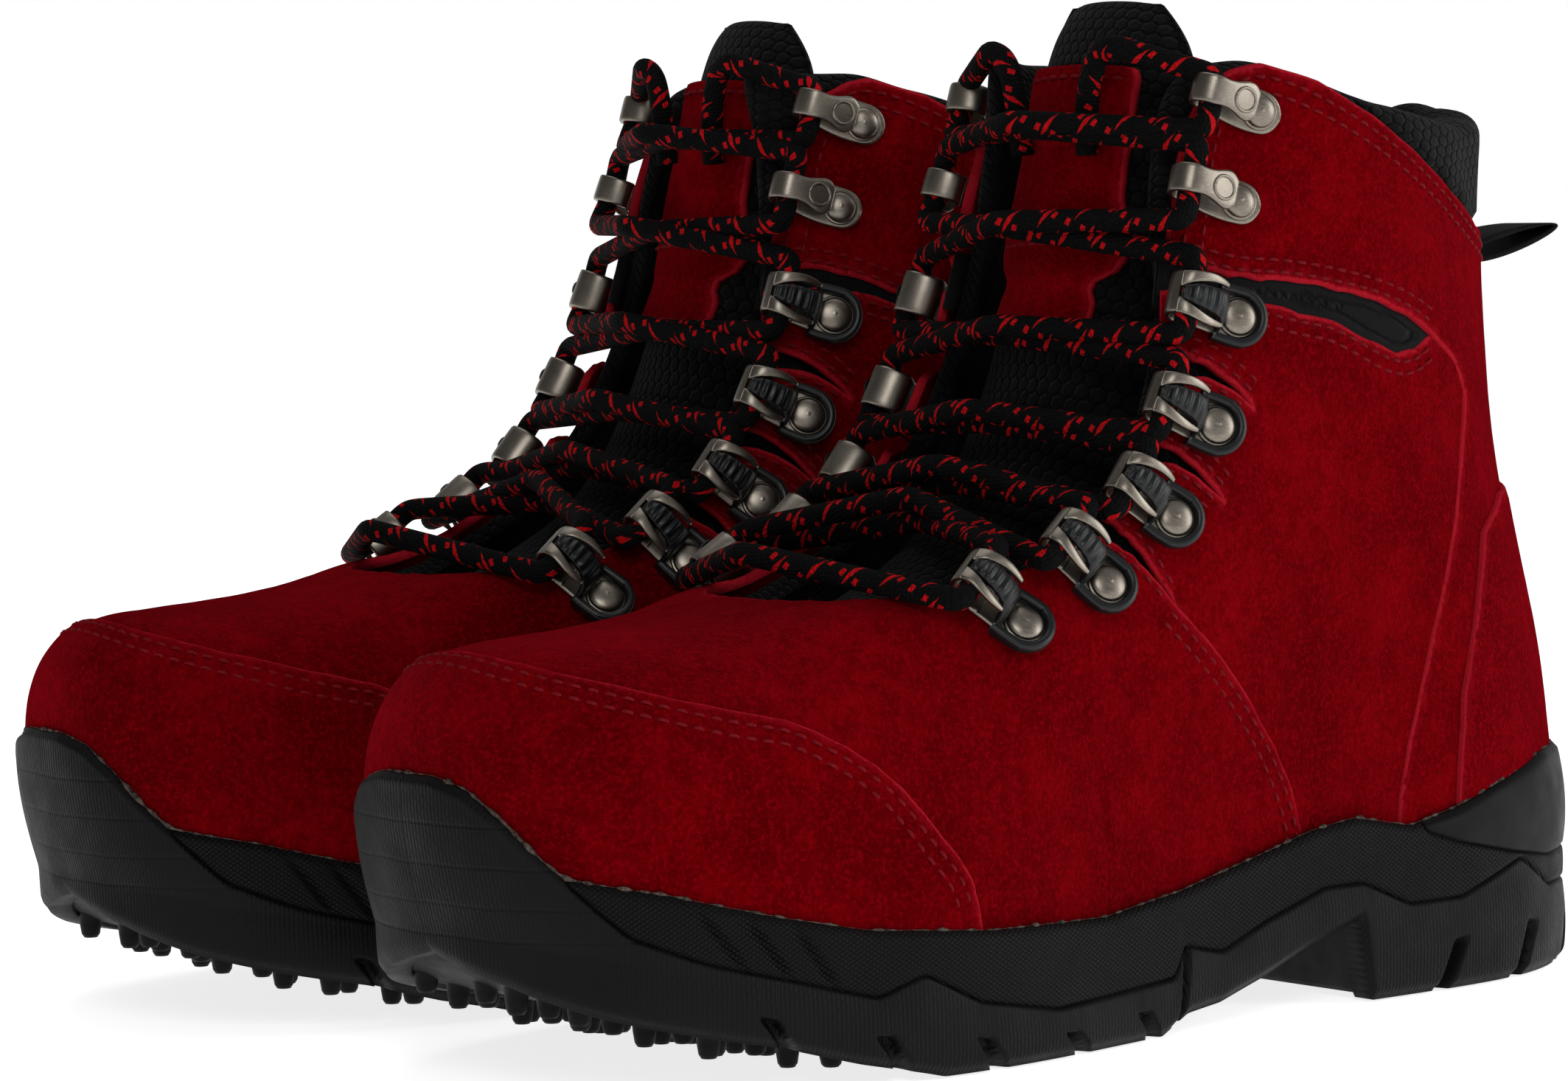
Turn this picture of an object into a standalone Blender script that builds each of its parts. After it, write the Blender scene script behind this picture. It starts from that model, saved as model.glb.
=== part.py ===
"""A pair of laced suede hiking boots, each built from its own shells, panels, sole and hooks.

Every boot is drawn once in boot space, in millimetres: x to the outer side of the foot, y from
toe to heel, z up, the ground at z = 0. Each side is then placed in the world in metres, toes
towards -Y: the left boot as drawn, the right boot mirrored and turned a little outwards.

The upper follows one smooth skin. A place on it is (station, height): stations run once round the
foot, 0 at the toe, 10 at the heel, 1 to 9 down the outer side and -1 to -9 down the inner side.
Height is 0 at the foot and 1 at the throat and collar.
"""

import math

import bmesh
import bpy
import numpy as np
from mathutils import Matrix, Vector
from mathutils.geometry import delaunay_2d_cdt

# Driving dimensions, millimetres unless the name says otherwise
BOOT_MIDDLE = 150.0        # boot-space y that stands on the world's X axis
BOOT_SPACING = 114.0       # between the middles of the two boots
SPLAY = math.radians(7.3)  # outward turn of the right boot
RIGHT_FORWARD = 4.0        # the right boot stands this much further forward
PAIR_MIDDLE = (-3.58, 2.21, 0.0)  # middle of the pair's footprint, which becomes the origin

SUEDE = 2.0                # thickness of a suede panel
SEAM_GAP = 0.35            # half the gap between two panels that meet edge to edge
LINING_OUT = -2.6          # outer face of the lining, measured outwards from the skin
LINING_THICK = 4.0         # lining over the foot
COLLAR_THICK = 9.0         # padded lining round the ankle
RIM_IN = 3.1               # inner and outer faces of the rubber that wraps the foot
RIM_OUT = 5.4
TOUCH = 0.3                # gap between rubber pieces that rest on each other
FOOT_LINE = 0.03           # height on the skin where panels end, behind the rubber
THROAT_LINE = 0.96         # height on the skin where the vamp ends, under the lace

TOE_LEAN = -6.0            # the toe points this much towards the inner side
WAIST_PULL = 0.12          # how far the arch side draws in

STRETCH = np.array([33.0, 130.0])  # millimetres to one station round and to the skin's height

LACE_RADIUS = 2.2
HOOK_WIDTH = 8.5
HOOK_SHEET = 1.1
HOOK_BORE = 4.0            # inner radius of a hook's bend
HOOK_LENGTH = 16.5         # flat plate, from its tail to the middle of the bend

# The skin: for stations 0 to 10, five points from the foot up to the throat or collar
SKIN = (
    ((0, 15.5, 30), (0, 11, 56), (0, 18.5, 77), (0, 52, 80), (0, 88, 86.5)),
    ((22.5, 21.5, 28.5), (23.5, 17.5, 54), (18, 26, 75), (10, 56, 80.5), (9, 89, 86)),
    ((39, 45.5, 22), (41, 45, 46), (34, 49.5, 69), (21, 70, 80.5), (18, 92, 85.5)),
    ((47, 84.5, 16), (48, 84, 39), (43, 83.5, 61), (33, 89, 80), (27, 100, 85.5)),
    ((45, 120.5, 15.5), (46, 118, 39.5), (43, 115.5, 63.5), (39, 113, 79.5), (33, 115, 89)),
    ((40, 155.5, 17.5), (42, 152, 43.5), (42, 147.5, 69.5), (40, 142, 91), (34, 139.5, 103)),
    ((38, 190.5, 21.5), (40, 185.5, 51.5), (41, 177, 85), (40, 167, 116), (32, 160.5, 136.5)),
    ((38.5, 222.5, 25), (39.5, 217.5, 59), (40, 206.5, 99), (39, 191.5, 143.5), (27, 170.5, 184)),
    ((36, 253, 27), (37, 247.5, 64), (36, 238.5, 104.5), (38, 225.5, 145), (38, 201.5, 184.5)),
    ((22, 277, 28.5), (22, 272.5, 65.5), (20, 264.5, 104), (22, 258.5, 142), (28, 250.5, 175)),
    ((0, 286, 29), (0, 282.5, 65.5), (0, 273.5, 103.5), (0, 268.5, 141.5), (0, 273.5, 177.5)),
)
HEEL = len(SKIN) - 1
ROUND = 2 * HEEL           # stations once round the foot
ROWS = len(SKIN[0])

# Heights of the sole's lines above the ground, by station: (station, height)
RUBBER_TOP = ((0, 59), (0.3, 59), (0.6, 57), (0.84, 52), (1.03, 46), (1.21, 41), (1.75, 37.5),
              (2.3, 32), (2.7, 28.5), (3.4, 26), (4.3, 25), (4.95, 27.5), (5.6, 32), (6.05, 35.5),
              (6.42, 37), (6.9, 34), (7.3, 36.5), (7.75, 40.5), (8.35, 45), (10, 45))
OUTSOLE_TOP = ((0, 59), (0.3, 59), (0.6, 57), (0.84, 52), (1.03, 46), (1.21, 41), (1.4, 35),
               (1.55, 30.5), (1.95, 25), (2.3, 21.5), (2.75, 16.5), (2.98, 20), (3.3, 13.7),
               (3.85, 10), (4.84, 11.5), (4.91, 17.5), (5.24, 15), (5.6, 19.5), (6.1, 24.5),
               (6.42, 24.5), (6.83, 19), (7.3, 19), (7.9, 25), (8.3, 18), (10, 16))
MIDSOLE_TOP = ((6.9, 60), (6.95, 33.5), (7.3, 30), (7.8, 26.5), (8.3, 24), (10, 24))
TREAD = ((0, 26), (0.75, 21), (1.36, 15.5), (1.75, 12.5), (2.3, 8.3), (2.67, 4), (3.0, 1),
         (3.1, 0), (4.75, 0), (4.97, 3.5), (5.24, 4.5), (5.6, 8), (6.0, 13), (6.42, 16.5),
         (6.5, 0), (10, 0))
BUMPER_END = 1.25          # station where the toe bumper gives way to the midsole
CRADLE_START = 7.0         # station where the heel cradle begins

# Seams on the outer side, as (station, height); the inner side mirrors them
TOE_SEAM = ((0, 0.53), (1, 0.51), (2, 0.5), (2.38, 0.51), (2.7, 0.48), (2.97, 0.41),
            (3.16, 0.31), (3.33, 0.21), (3.4, FOOT_LINE))
VAMP_SEAM = ((6.08, FOOT_LINE), (5.99, 0.19), (5.76, 0.35), (5.51, 0.48), (5.28, 0.6))
BACKSTAY_SEAM = ((7.93, 0.67), (8.19, 0.62), (8.16, 0.57), (7.96, 0.5), (7.69, 0.41),
                 (7.39, 0.33), (7.12, 0.24), (6.92, 0.15), (6.8, FOOT_LINE))
PATCH_SEAM = ((7.3, FOOT_LINE), (7.46, 0.19), (7.61, 0.27), (7.85, 0.35), (8.19, 0.44), (9, 0.47),
              (10, 0.48))
COLLAR_LINE = ((6.25, 0.99), (6.5, 0.97), (6.75, 0.965), (7, 0.965), (7.3, 0.975), (7.6, 0.99),
               (7.89, 0.985), (8.14, 0.96), (8.33, 0.93), (8.6, 0.88), (8.9, 0.84), (9.4, 0.82),
               (10, 0.815))
CRESCENT_TOP = ((6.25, 0.99), (6.48, 0.86), (6.78, 0.78), (7.19, 0.73), (7.64, 0.7), (7.93, 0.67))
CRESCENT_LOW = ((6.13, 1), (6.4, 0.85), (6.82, 0.74), (7.13, 0.7), (7.45, 0.66), (7.7, 0.65),
                (7.93, 0.67))
SHORT_TOP = ((6.22, 0.99), (6.4, 0.9), (6.88, 0.75), (7.4, 0.7), (7.93, 0.67))
SHORT_LOW = ((6.12, 1), (6.36, 0.88), (6.88, 0.74), (7.4, 0.69), (7.93, 0.67))
SLITS = (((4.82, 0.96), (5.28, 0.6), (4.98, 0.955)), ((5.32, 0.985), (5.89, 0.65), (5.46, 0.985)),
         ((5.76, 0.985), (6.33, 0.7), (5.88, 0.985)))

# Rivet and bend of the seven hooks down each side, top first, as (station, height)
HOOKS = (((7.35, 0.92), (6.99, 0.98)), ((6.86, 0.85), (6.5, 0.99)), ((6.45, 0.78), (6.08, 0.98)),
         ((5.97, 0.74), (5.63, 0.98)), ((5.43, 0.71), (5.15, 0.97)), ((4.79, 0.73), (4.57, 0.99)),
         ((4.15, 0.73), (3.7, 0.99)))

# Front of the tongue down its middle, (y, z) from the toe end to the top
TONGUE_LINE = ((94, 77), (105, 81.5), (117, 87), (136, 98), (150, 117), (159, 139),
               (164.5, 160), (169.5, 182), (176, 201))
TONGUE_HALF = (14, 19, 23, 26, 25, 24, 22, 20, 17)
TONGUE_CROWN = 12.0        # how far the tongue falls away at 27 mm from its middle
TONGUE_THICK = 6.0
SHIELD_FROM = 0.58         # share of the tongue's length where the suede shield begins and ends
SHIELD_TO = 0.97
SHIELD_HALF = 18.0
SHIELD_FRONT = 2.9
SHIELD_THICK = 1.6

LOOP_ROOT = (271.9, 147.0)  # (y, z) where the pull loop swings behind the collar
LOOP_REACH = 31.0
LOOP_RISE = 3.0            # how much higher the loop's middle stands than its root
LOOP_HEIGHT = 10.5
LOOP_WEB = 1.4
LOOP_WIDTH = 14.0

BOARD_INSET = -6.4         # edge of the insole board, measured outwards from the skin
FOOTBED_PIVOT = (-6, 26, 31)

LACE_UNDER = 6.2           # how far crossing strands stand forward of the tongue
LACE_OVER = 11.8
LACE_TAIL = (-4, 9, 22, 33)
LACE_STEP = 2.0            # spacing of the worked-out route
LACE_EASE = 1.8            # how far its corners are rounded
LACE_EVERY = 4
LACE_STRAIGHT = 8.0        # straight run on each side of a hook


def curvature(count, closed):
    """Matrix from a spline's values to its second derivatives at its knots."""
    left = 4 * np.eye(count)
    right = -12 * np.eye(count)
    for row in range(count):
        for column in (row - 1, row + 1):
            if closed or 0 <= column < count:
                left[row, column % count] += 1
                right[row, column % count] += 6
    if not closed:
        for row in (0, count - 1):
            left[row] = np.eye(count)[row]
            right[row] = 0
    return np.linalg.solve(left, right)


def weights(count, places, closed):
    """How much each of a smooth curve's knots counts at each place along it."""
    places = np.asarray(places, float)
    knot = np.floor(places).astype(int)
    if not closed:
        knot = np.clip(knot, 0, count - 2)
    after = (places - knot)[:, None]
    before = 1 - after
    second = curvature(count, closed)
    ones = np.eye(count)
    here, there = knot % count, (knot + 1) % count
    line = before * ones[here] + after * ones[there]
    return line + ((before**3 - before) * second[here] + (after**3 - after) * second[there]) / 6


def smooth(points, count):
    """Points spread along the smooth open curve through the given ones."""
    points = np.asarray(points, float)
    return weights(len(points), np.linspace(0, len(points) - 1, count), False) @ points


def eased(route, step, blur):
    """Evenly spaced points along a route, with its corners rounded off."""
    route = np.asarray(route)
    run = np.concatenate([[0], np.cumsum(np.linalg.norm(np.diff(route, axis=0), axis=1))])
    places = np.linspace(0, run[-1], int(run[-1] / step) + 1)
    points = np.stack([np.interp(places, run, route[:, axis]) for axis in range(3)], axis=1)
    reach = int(3 * blur / step)
    bell = np.exp(-0.5 * (np.arange(-reach, reach + 1) * step / blur) ** 2)
    padded = np.pad(points, ((reach, reach), (0, 0)), mode="edge")
    columns = [np.convolve(padded[:, axis], bell / bell.sum(), mode="valid") for axis in range(3)]
    return np.stack(columns, axis=1)


def skin_table():
    outer = np.array(SKIN, float)
    inner = outer[HEEL - 1:0:-1] * (-1, 1, 1)
    return np.concatenate([outer, inner])


TABLE = skin_table()


def lean(y):
    """Sideways shift of the boot's middle line: towards the inner side at the toe."""
    back = np.clip(np.asarray(y) / 130, 0, 1)
    return TOE_LEAN * (1 - back * back * (3 - 2 * back))


def bare_skin(station, height):
    around = weights(ROUND, station, True)
    up = weights(ROWS, np.asarray(height) * (ROWS - 1), False)
    point = np.einsum("mi,mk,ikc->mc", around, up, TABLE)
    point[:, 0] += lean(point[:, 1])
    waist = WAIST_PULL * np.exp(-((point[:, 1] - 165) / 40) ** 2 - (point[:, 2] / 80) ** 2)
    point[:, 0] *= np.where(point[:, 0] < 0, 1 - waist, 1)
    return point


def outward(station, height):
    """The skin's unit normals."""
    step = 0.01
    along = bare_skin(station + step, height) - bare_skin(station - step, height)
    up = bare_skin(station, height + step / 3) - bare_skin(station, height - step / 3)
    normal = np.cross(along, up)
    return normal / np.linalg.norm(normal, axis=1)[:, None]


def skin(station, height, out=0.0):
    """Points at a distance outwards from the skin."""
    station, height = np.broadcast_arrays(np.atleast_1d(station), np.atleast_1d(height))
    station, height = station.astype(float), height.astype(float)
    return bare_skin(station, height) + outward(station, height) * np.reshape(out, (-1, 1))


def level(line, station):
    """Height of one of the sole's lines at a station of either side."""
    side = np.abs((np.asarray(station) + HEEL) % ROUND - HEEL)
    return np.interp(side, *zip(*line))


def wall(station, z, out):
    """A point of the sole's wall: against the skin above the foot, and straight down below it."""
    heights = np.linspace(0, 0.4, 17)
    points = np.empty((len(station), 3))
    reach = np.broadcast_to(out, np.shape(station))
    for row, place in enumerate(station):
        column = bare_skin(np.full(17, place), heights)
        height = np.interp(z[row], column[:, 2], heights)
        point = skin(place, height, reach[row])[0]
        point[2] = z[row]
        points[row] = point
    return points


def to_world(points, side):
    """Boot-space millimetres to world metres; side is 1 for the left boot, -1 for the right."""
    points = np.asarray(points, float) - (0, BOOT_MIDDLE, 0)
    if side < 0:
        turn = np.array(Matrix.Rotation(-SPLAY, 3, "Z"))
        points = (points * (-1, 1, 1)) @ turn.T - (0, RIGHT_FORWARD, 0)
    return (points + (side * BOOT_SPACING / 2, 0, 0) - PAIR_MIDDLE) / 1000


def material(name, colour, roughness, metallic=0.0):
    made = bpy.data.materials.new(name)
    made.use_nodes = True
    shader = made.node_tree.nodes["Principled BSDF"]
    shader.inputs["Base Color"].default_value = (*colour, 1)
    shader.inputs["Roughness"].default_value = roughness
    shader.inputs["Metallic"].default_value = metallic
    made.diffuse_color = (*colour, 1)
    return made


def solid(name, points, faces, side, finish, pivot=None):
    """One closed body, with its origin on its joint's axis where it has one."""
    world = to_world(points, side)
    origin = np.zeros(3) if pivot is None else to_world([pivot], side)[0]
    mesh = bpy.data.meshes.new(name)
    mesh.from_pydata((world - origin).tolist(), [], [tuple(face) for face in faces])
    shaped = bmesh.new()
    shaped.from_mesh(mesh)
    bmesh.ops.triangulate(shaped, faces=shaped.faces)
    bmesh.ops.recalc_face_normals(shaped, faces=shaped.faces)
    shaped.to_mesh(mesh)
    shaped.free()
    mesh.materials.append(finish)
    mesh.shade_smooth()
    mesh.set_sharp_from_angle(angle=math.radians(35))
    part = bpy.data.objects.new(name, mesh)
    part.location = origin
    bpy.context.collection.objects.link(part)
    return part


def strips(rows, loop_rows, loop_points):
    """Faces between rows of points, closing round the rows and round the points where asked."""
    count = len(rows[0])
    faces = []
    for row in range(len(rows) if loop_rows else len(rows) - 1):
        next_row = (row + 1) % len(rows)
        for point in range(count if loop_points else count - 1):
            beside = (point + 1) % count
            faces.append((row * count + point, row * count + beside,
                          next_row * count + beside, next_row * count + point))
    return faces


def slab(rows):
    """A solid of stacked rings; strips run straight across its first and last ring."""
    count = len(rows[0])
    faces = strips(rows, False, True)
    for ring in (0, len(rows) - 1):
        start = ring * count
        for point in range(count // 2):
            across, beside = (count - point) % count, (count - point - 1) % count
            face = [start + point, start + point + 1, start + beside, start + across]
            unique = list(dict.fromkeys(face))
            faces.append(unique if ring else unique[::-1])
    return np.concatenate(rows), faces


def band(rows, closed):
    """A solid swept round the foot: rows go round its section, with end caps unless closed."""
    count, faces = len(rows[0]), strips(rows, True, closed)
    if not closed:
        faces.append([row * count for row in range(len(rows))])
        faces.append([row * count + count - 1 for row in reversed(range(len(rows)))])
    return np.concatenate(rows), faces


def sole_columns():
    """Stations round the foot, closer together at the heel breast and the arch step."""
    half = sorted([*np.linspace(0, HEEL, 25), 4.86, 6.44, 6.52])
    return np.array(half + [ROUND - place for place in half[-2:0:-1]])


COLUMNS = sole_columns()


def ring(z, out):
    """One ring of the sole's wall; z is a list of heights or one height."""
    return wall(COLUMNS, np.broadcast_to(z, COLUMNS.shape), out)


def foot_z(drop):
    return bare_skin(COLUMNS, np.zeros(len(COLUMNS)))[:, 2] - drop


def tray_z():
    """Floor of the outsole's tray, between the tread and the foot."""
    tread = level(TREAD, COLUMNS)
    arch = np.interp(np.abs((COLUMNS + HEEL) % ROUND - HEEL), (4.7, 6.4, 6.6, 7), (5, 3, 9, 9))
    return np.minimum(tread + arch, foot_z(2.5))


def outsole(name, side, rubber):
    tread, top = level(TREAD, COLUMNS), level(OUTSOLE_TOP, COLUMNS)
    floor = tray_z()
    rows = [ring(tread, RIM_OUT - 1.6), ring((tread + top) / 2, RIM_OUT + 0.8),
            ring(top, RIM_OUT), ring(top, RIM_IN), ring(floor, RIM_IN)]
    return solid(name, *slab(rows), side, rubber)


def band_columns(start):
    """Stations from one side's start round the heel to the other side's."""
    within = COLUMNS[(COLUMNS > start + 0.05) & (COLUMNS < ROUND - start - 0.05)]
    return np.concatenate([[start], within, [ROUND - start]])


def join(part, other):
    """Unite a second body with a part and leave it out of the model as a guide."""
    other.hide_render = True
    other.display_type = "WIRE"
    union = part.modifiers.new("Union", "BOOLEAN")
    union.operation = "UNION"
    union.solver = "EXACT"
    union.object = other


def midsole(name, side, rubber):
    """A slab that fills the outsole's tray, and a band that wraps the foot above it."""
    filling = [ring(tray_z() + TOUCH, RIM_IN - 0.4), ring(foot_z(0.5), RIM_IN - 0.4)]
    part = solid(name, *slab(filling), side, rubber)
    around = band_columns(BUMPER_END)
    foot = bare_skin(around, np.zeros(len(around)))[:, 2]
    low = level(OUTSOLE_TOP, around) + TOUCH
    high = np.minimum(level(MIDSOLE_TOP, around), level(RUBBER_TOP, around))
    inner = np.where(low > foot - 1, RIM_IN, RIM_IN - 0.8)
    rows = [wall(around, low, inner), wall(around, low, RIM_OUT),
            wall(around, high, RIM_OUT), wall(around, high, RIM_IN)]
    join(part, solid(name + "_wall_guide", *band(rows, False), side, rubber))
    return part


def heel_cradle(name, side, rubber):
    around = band_columns(CRADLE_START)
    low = level(MIDSOLE_TOP, around) + TOUCH
    high = level(RUBBER_TOP, around)
    rows = [wall(around, low, RIM_IN), wall(around, low, RIM_OUT),
            wall(around, high, RIM_OUT), wall(around, high, RIM_IN)]
    return solid(name, *band(rows, False), side, rubber)


def insole(name, side, finish, low, high, inset, pivot=None):
    """A flat layer under the foot, between two heights above the foot line."""
    rows = [ring(foot_z(-low), inset), ring(foot_z(-high), inset)]
    return solid(name, *slab(rows), side, finish, pivot)


def polygon_spread(outline, spacing):
    """Inner points of a polygon in skin coordinates, on a grid clear of its edge."""
    metric = np.array(outline) * STRETCH
    low, high = metric.min(axis=0), metric.max(axis=0)
    grid = [(x, y) for x in np.arange(low[0], high[0], spacing)
            for y in np.arange(low[1], high[1], spacing)]
    after = np.roll(metric, -1, axis=0)
    chosen = []
    for spot in np.array(grid):
        edge = after - metric
        along = np.clip(((spot - metric) * edge).sum(axis=1) / (edge**2).sum(axis=1), 0, 1)
        nearest = np.linalg.norm(metric + edge * along[:, None] - spot, axis=1).min()
        crosses = (metric[:, 1] > spot[1]) != (after[:, 1] > spot[1])
        rise = np.where(after[:, 1] == metric[:, 1], 1, after[:, 1] - metric[:, 1])
        meets = metric[:, 0] + (spot[1] - metric[:, 1]) * edge[:, 0] / rise
        if nearest > spacing * 0.55 and np.count_nonzero(crosses & (meets > spot[0])) % 2:
            chosen.append(spot / STRETCH)
    return chosen


def inset_outline(outline, gap):
    """A polygon in skin coordinates drawn in by a gap in millimetres."""
    points = np.array(outline) * STRETCH
    ahead = np.roll(points, -1, axis=0) - points
    ahead /= np.linalg.norm(ahead, axis=1)[:, None]
    behind = np.roll(ahead, 1, axis=0)
    area = (points[:, 0] * np.roll(points[:, 1], -1) - points[:, 1] * np.roll(points[:, 0], -1)).sum()
    turn = np.array([[0, 1], [-1, 0]]) * np.sign(area)
    inward = ahead @ turn + behind @ turn
    length = np.maximum((inward**2).sum(axis=1), 0.35)
    return (points + inward * (gap * 2 / length)[:, None]) / STRETCH


def panel(name, outline, side, finish, low=0.0, high=SUEDE, spacing=18.0):
    """A panel cut from the skin: a polygon in skin coordinates between two distances out."""
    outline = inset_outline(outline, SEAM_GAP)
    inner = polygon_spread(outline, spacing)
    flat = [Vector(point) for point in np.concatenate([outline * STRETCH] +
                                                      [np.array([p]) * STRETCH for p in inner])]
    count = len(outline)
    edges = [(place, (place + 1) % count) for place in range(count)]
    points, _, faces, *_ = delaunay_2d_cdt(flat, edges, [], 1, 1e-5)
    places = np.array([(point.x, point.y) for point in points]) / STRETCH
    size = len(places)
    directed = {(face[k], face[(k + 1) % 3]) for face in faces for k in range(3)}
    rim = [edge for edge in directed if edge[::-1] not in directed]
    shell = [tuple(face) for face in faces]
    shell += [tuple(corner + size for corner in reversed(face)) for face in faces]
    shell += [(b, a, a + size, b + size) for a, b in rim]
    points = np.concatenate([skin(places[:, 0], places[:, 1], out) for out in (high, low)])
    return solid(name, points, shell, side, finish)


def mirrored(seam):
    return [(-station, height) for station, height in seam]


def rounded(seam, count):
    """A seam's smooth curve, as points in skin coordinates."""
    return [tuple(point) for point in smooth(seam, count)]


def toe_cap_outline():
    seam = rounded(mirrored(TOE_SEAM)[:0:-1] + list(TOE_SEAM), 33)
    foot = [(station, FOOT_LINE) for station in np.linspace(3.4, -3.4, 15)[1:-1]]
    return seam + foot


def vamp_outline():
    """Behind the toe cap, up to the throat and back to the seam below the sixth hook."""
    seam = rounded(mirrored(TOE_SEAM)[:0:-1] + list(TOE_SEAM), 33)
    foot = [(station, FOOT_LINE) for station in np.linspace(3.4, 6.08, 8)[1:-1]]
    back = rounded(VAMP_SEAM, 9)
    throat = [(station, THROAT_LINE) for station in np.linspace(4.82, 0, 13)]
    outer = foot + back + throat
    inner = mirrored(foot + back + throat[:-1])[::-1]
    return seam + outer + inner


def quarter_outline(top_seam):
    """From the vamp to the backstay, with a tab for each of its three hooks."""
    foot = [(station, FOOT_LINE) for station in (6.3, 6.55)]
    front = rounded(VAMP_SEAM, 9)
    tabs = [SLITS[0][2], (5.15, 0.955), SLITS[1][0], SLITS[1][1], SLITS[1][2], (5.6, 0.98),
            SLITS[2][0], SLITS[2][1], SLITS[2][2]]
    back = rounded(BACKSTAY_SEAM, 12)[1:]
    return (front + tabs + rounded(top_seam, 9) + back + foot[::-1])


def collar_outline():
    """The upper band on both sides and the backstay, round the heel patch."""
    outer = list(COLLAR_LINE[::-1]) + rounded(CRESCENT_TOP, 9)[1:]
    outer += rounded(BACKSTAY_SEAM, 12)[1:] + [(7.05, FOOT_LINE)] + rounded(PATCH_SEAM, 9)
    inner = list(COLLAR_LINE[::-1]) + rounded(SHORT_TOP, 9)[1:]
    inner += rounded(BACKSTAY_SEAM, 12)[1:] + [(7.05, FOOT_LINE)] + rounded(PATCH_SEAM, 9)
    return outer + [(ROUND - station, height) for station, height in inner[-2:0:-1]]


def heel_patch_outline():
    outer = rounded(PATCH_SEAM, 9)
    foot = [(station, FOOT_LINE) for station in np.linspace(ROUND - 7.3, 7.3, 9)[1:-1]]
    return outer + [(ROUND - station, height) for station, height in outer[-2::-1]] + foot


def lining(name, side, finish):
    """The padded inner boot: a shell open at the collar and throat, thick round the ankle."""
    heights = (0.05, 0.3, 0.55, 0.8, 1.0)
    ankle = np.clip((np.abs((COLUMNS + HEEL) % ROUND - HEEL) - 7.0) / 1.2, 0, 1)
    outer, inner = [], []
    for height in heights:
        pad = (COLLAR_THICK - LINING_THICK) * ankle * np.clip((height - 0.4) / 0.4, 0, 1)
        outer.append(skin(COLUMNS, height, LINING_OUT))
        inner.append(skin(COLUMNS, height, LINING_OUT - LINING_THICK - pad))
    return solid(name, *band(outer + inner[::-1], True), side, finish)


def frame_along(line, shares):
    """Points and forward normals along a curve in the boot's middle plane."""
    places = np.asarray(shares) * (len(line) - 1)
    curve = np.array(line, float)
    points = weights(len(line), places, False) @ curve
    ahead = weights(len(line), np.minimum(places + 0.01, len(line) - 1), False) @ curve
    behind = weights(len(line), np.maximum(places - 0.01, 0), False) @ curve
    along = ahead - behind
    along /= np.linalg.norm(along, axis=1)[:, None]
    return points, np.stack([-along[:, 1], along[:, 0]], axis=1)


def tongue_rows(shares, half, front, thick, across):
    """Rings of points round a curved strip: front face, then back face, at each share."""
    points, forward = frame_along(TONGUE_LINE, shares)
    rows = []
    for place, normal, reach in zip(points, forward, half):
        face = []
        for out, order in ((front, across), (front - thick, across[::-1])):
            for share in order:
                shape = out - TONGUE_CROWN * (share * reach / 27) ** 2
                if out < front:
                    shape += (thick - 2.5) * abs(share) ** 4
                y, z = place + normal * shape
                face.append((share * reach + lean(y), y, z))
        rows.append(np.array(face))
    return rows


def strip_solid(name, rows, side, finish, pivot=None):
    count = len(rows[0])
    faces = strips(rows, False, True)
    faces.append(list(range(count))[::-1])
    faces.append([(len(rows) - 1) * count + point for point in range(count)])
    return solid(name, np.concatenate(rows), faces, side, finish, pivot)


def tongue(name, side, finish):
    """The padded tongue, hinged where its lower end is stitched in."""
    shares = np.linspace(0, 1, 13)
    half = np.interp(shares, np.linspace(0, 1, len(TONGUE_HALF)), TONGUE_HALF)
    rows = tongue_rows(shares, half, 0.0, TONGUE_THICK, np.linspace(-1, 1, 7))
    return strip_solid(name, rows, side, finish, (0, *TONGUE_LINE[0]))


def tongue_shield(name, side, finish):
    """The suede strip down the front of the tongue's upper half."""
    shares = np.linspace(SHIELD_FROM, SHIELD_TO, 7)
    rows = tongue_rows(shares, np.full(7, SHIELD_HALF), SHIELD_FRONT, SHIELD_THICK, np.linspace(-1, 1, 7))
    return strip_solid(name, rows, side, finish, (0, *TONGUE_LINE[0]))


def loop_outline(out):
    """The pull loop's side view: a flattened drop behind the collar, as (y, z)."""
    turns = np.linspace(0, 2 * math.pi, 15)[:-1]
    reach, swell = LOOP_REACH / 2 + out, LOOP_HEIGHT / 2 + out
    return [(LOOP_ROOT[0] + LOOP_REACH / 2 - reach * math.cos(turn),
             LOOP_ROOT[1] + swell * math.sin(turn) + LOOP_RISE * (1 - math.cos(turn)))
            for turn in turns]


def pull_loop(name, side, finish):
    """A loop of flat webbing that swings on its root behind the collar."""
    outer, inner = loop_outline(0), loop_outline(-LOOP_WEB)
    half = LOOP_WIDTH / 2
    rows = [np.array([(x, y, z) for y, z in line])
            for line, x in ((outer, -half), (outer, half), (inner, half), (inner, -half))]
    points, faces = band(rows, True)
    return solid(name, points, faces, side, finish, (0, *LOOP_ROOT))


def hook_frame(index, sign):
    """A hook's middle on the suede, its direction to the bend, its width and its outward axis."""
    rivet, bend = np.array(HOOKS[index][0]), np.array(HOOKS[index][1])
    ends = [skin(sign * place[0], place[1], SUEDE)[0] for place in (rivet, bend)]
    middle = (rivet + bend) / 2
    normal = outward(np.array([sign * middle[0]]), np.array([middle[1]]))[0]
    centre = skin(sign * middle[0], middle[1], SUEDE + 0.6)[0]
    along = ends[1] - ends[0]
    along -= normal * (along @ normal)
    along /= np.linalg.norm(along)
    return centre, along, np.cross(along, normal), normal


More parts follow.
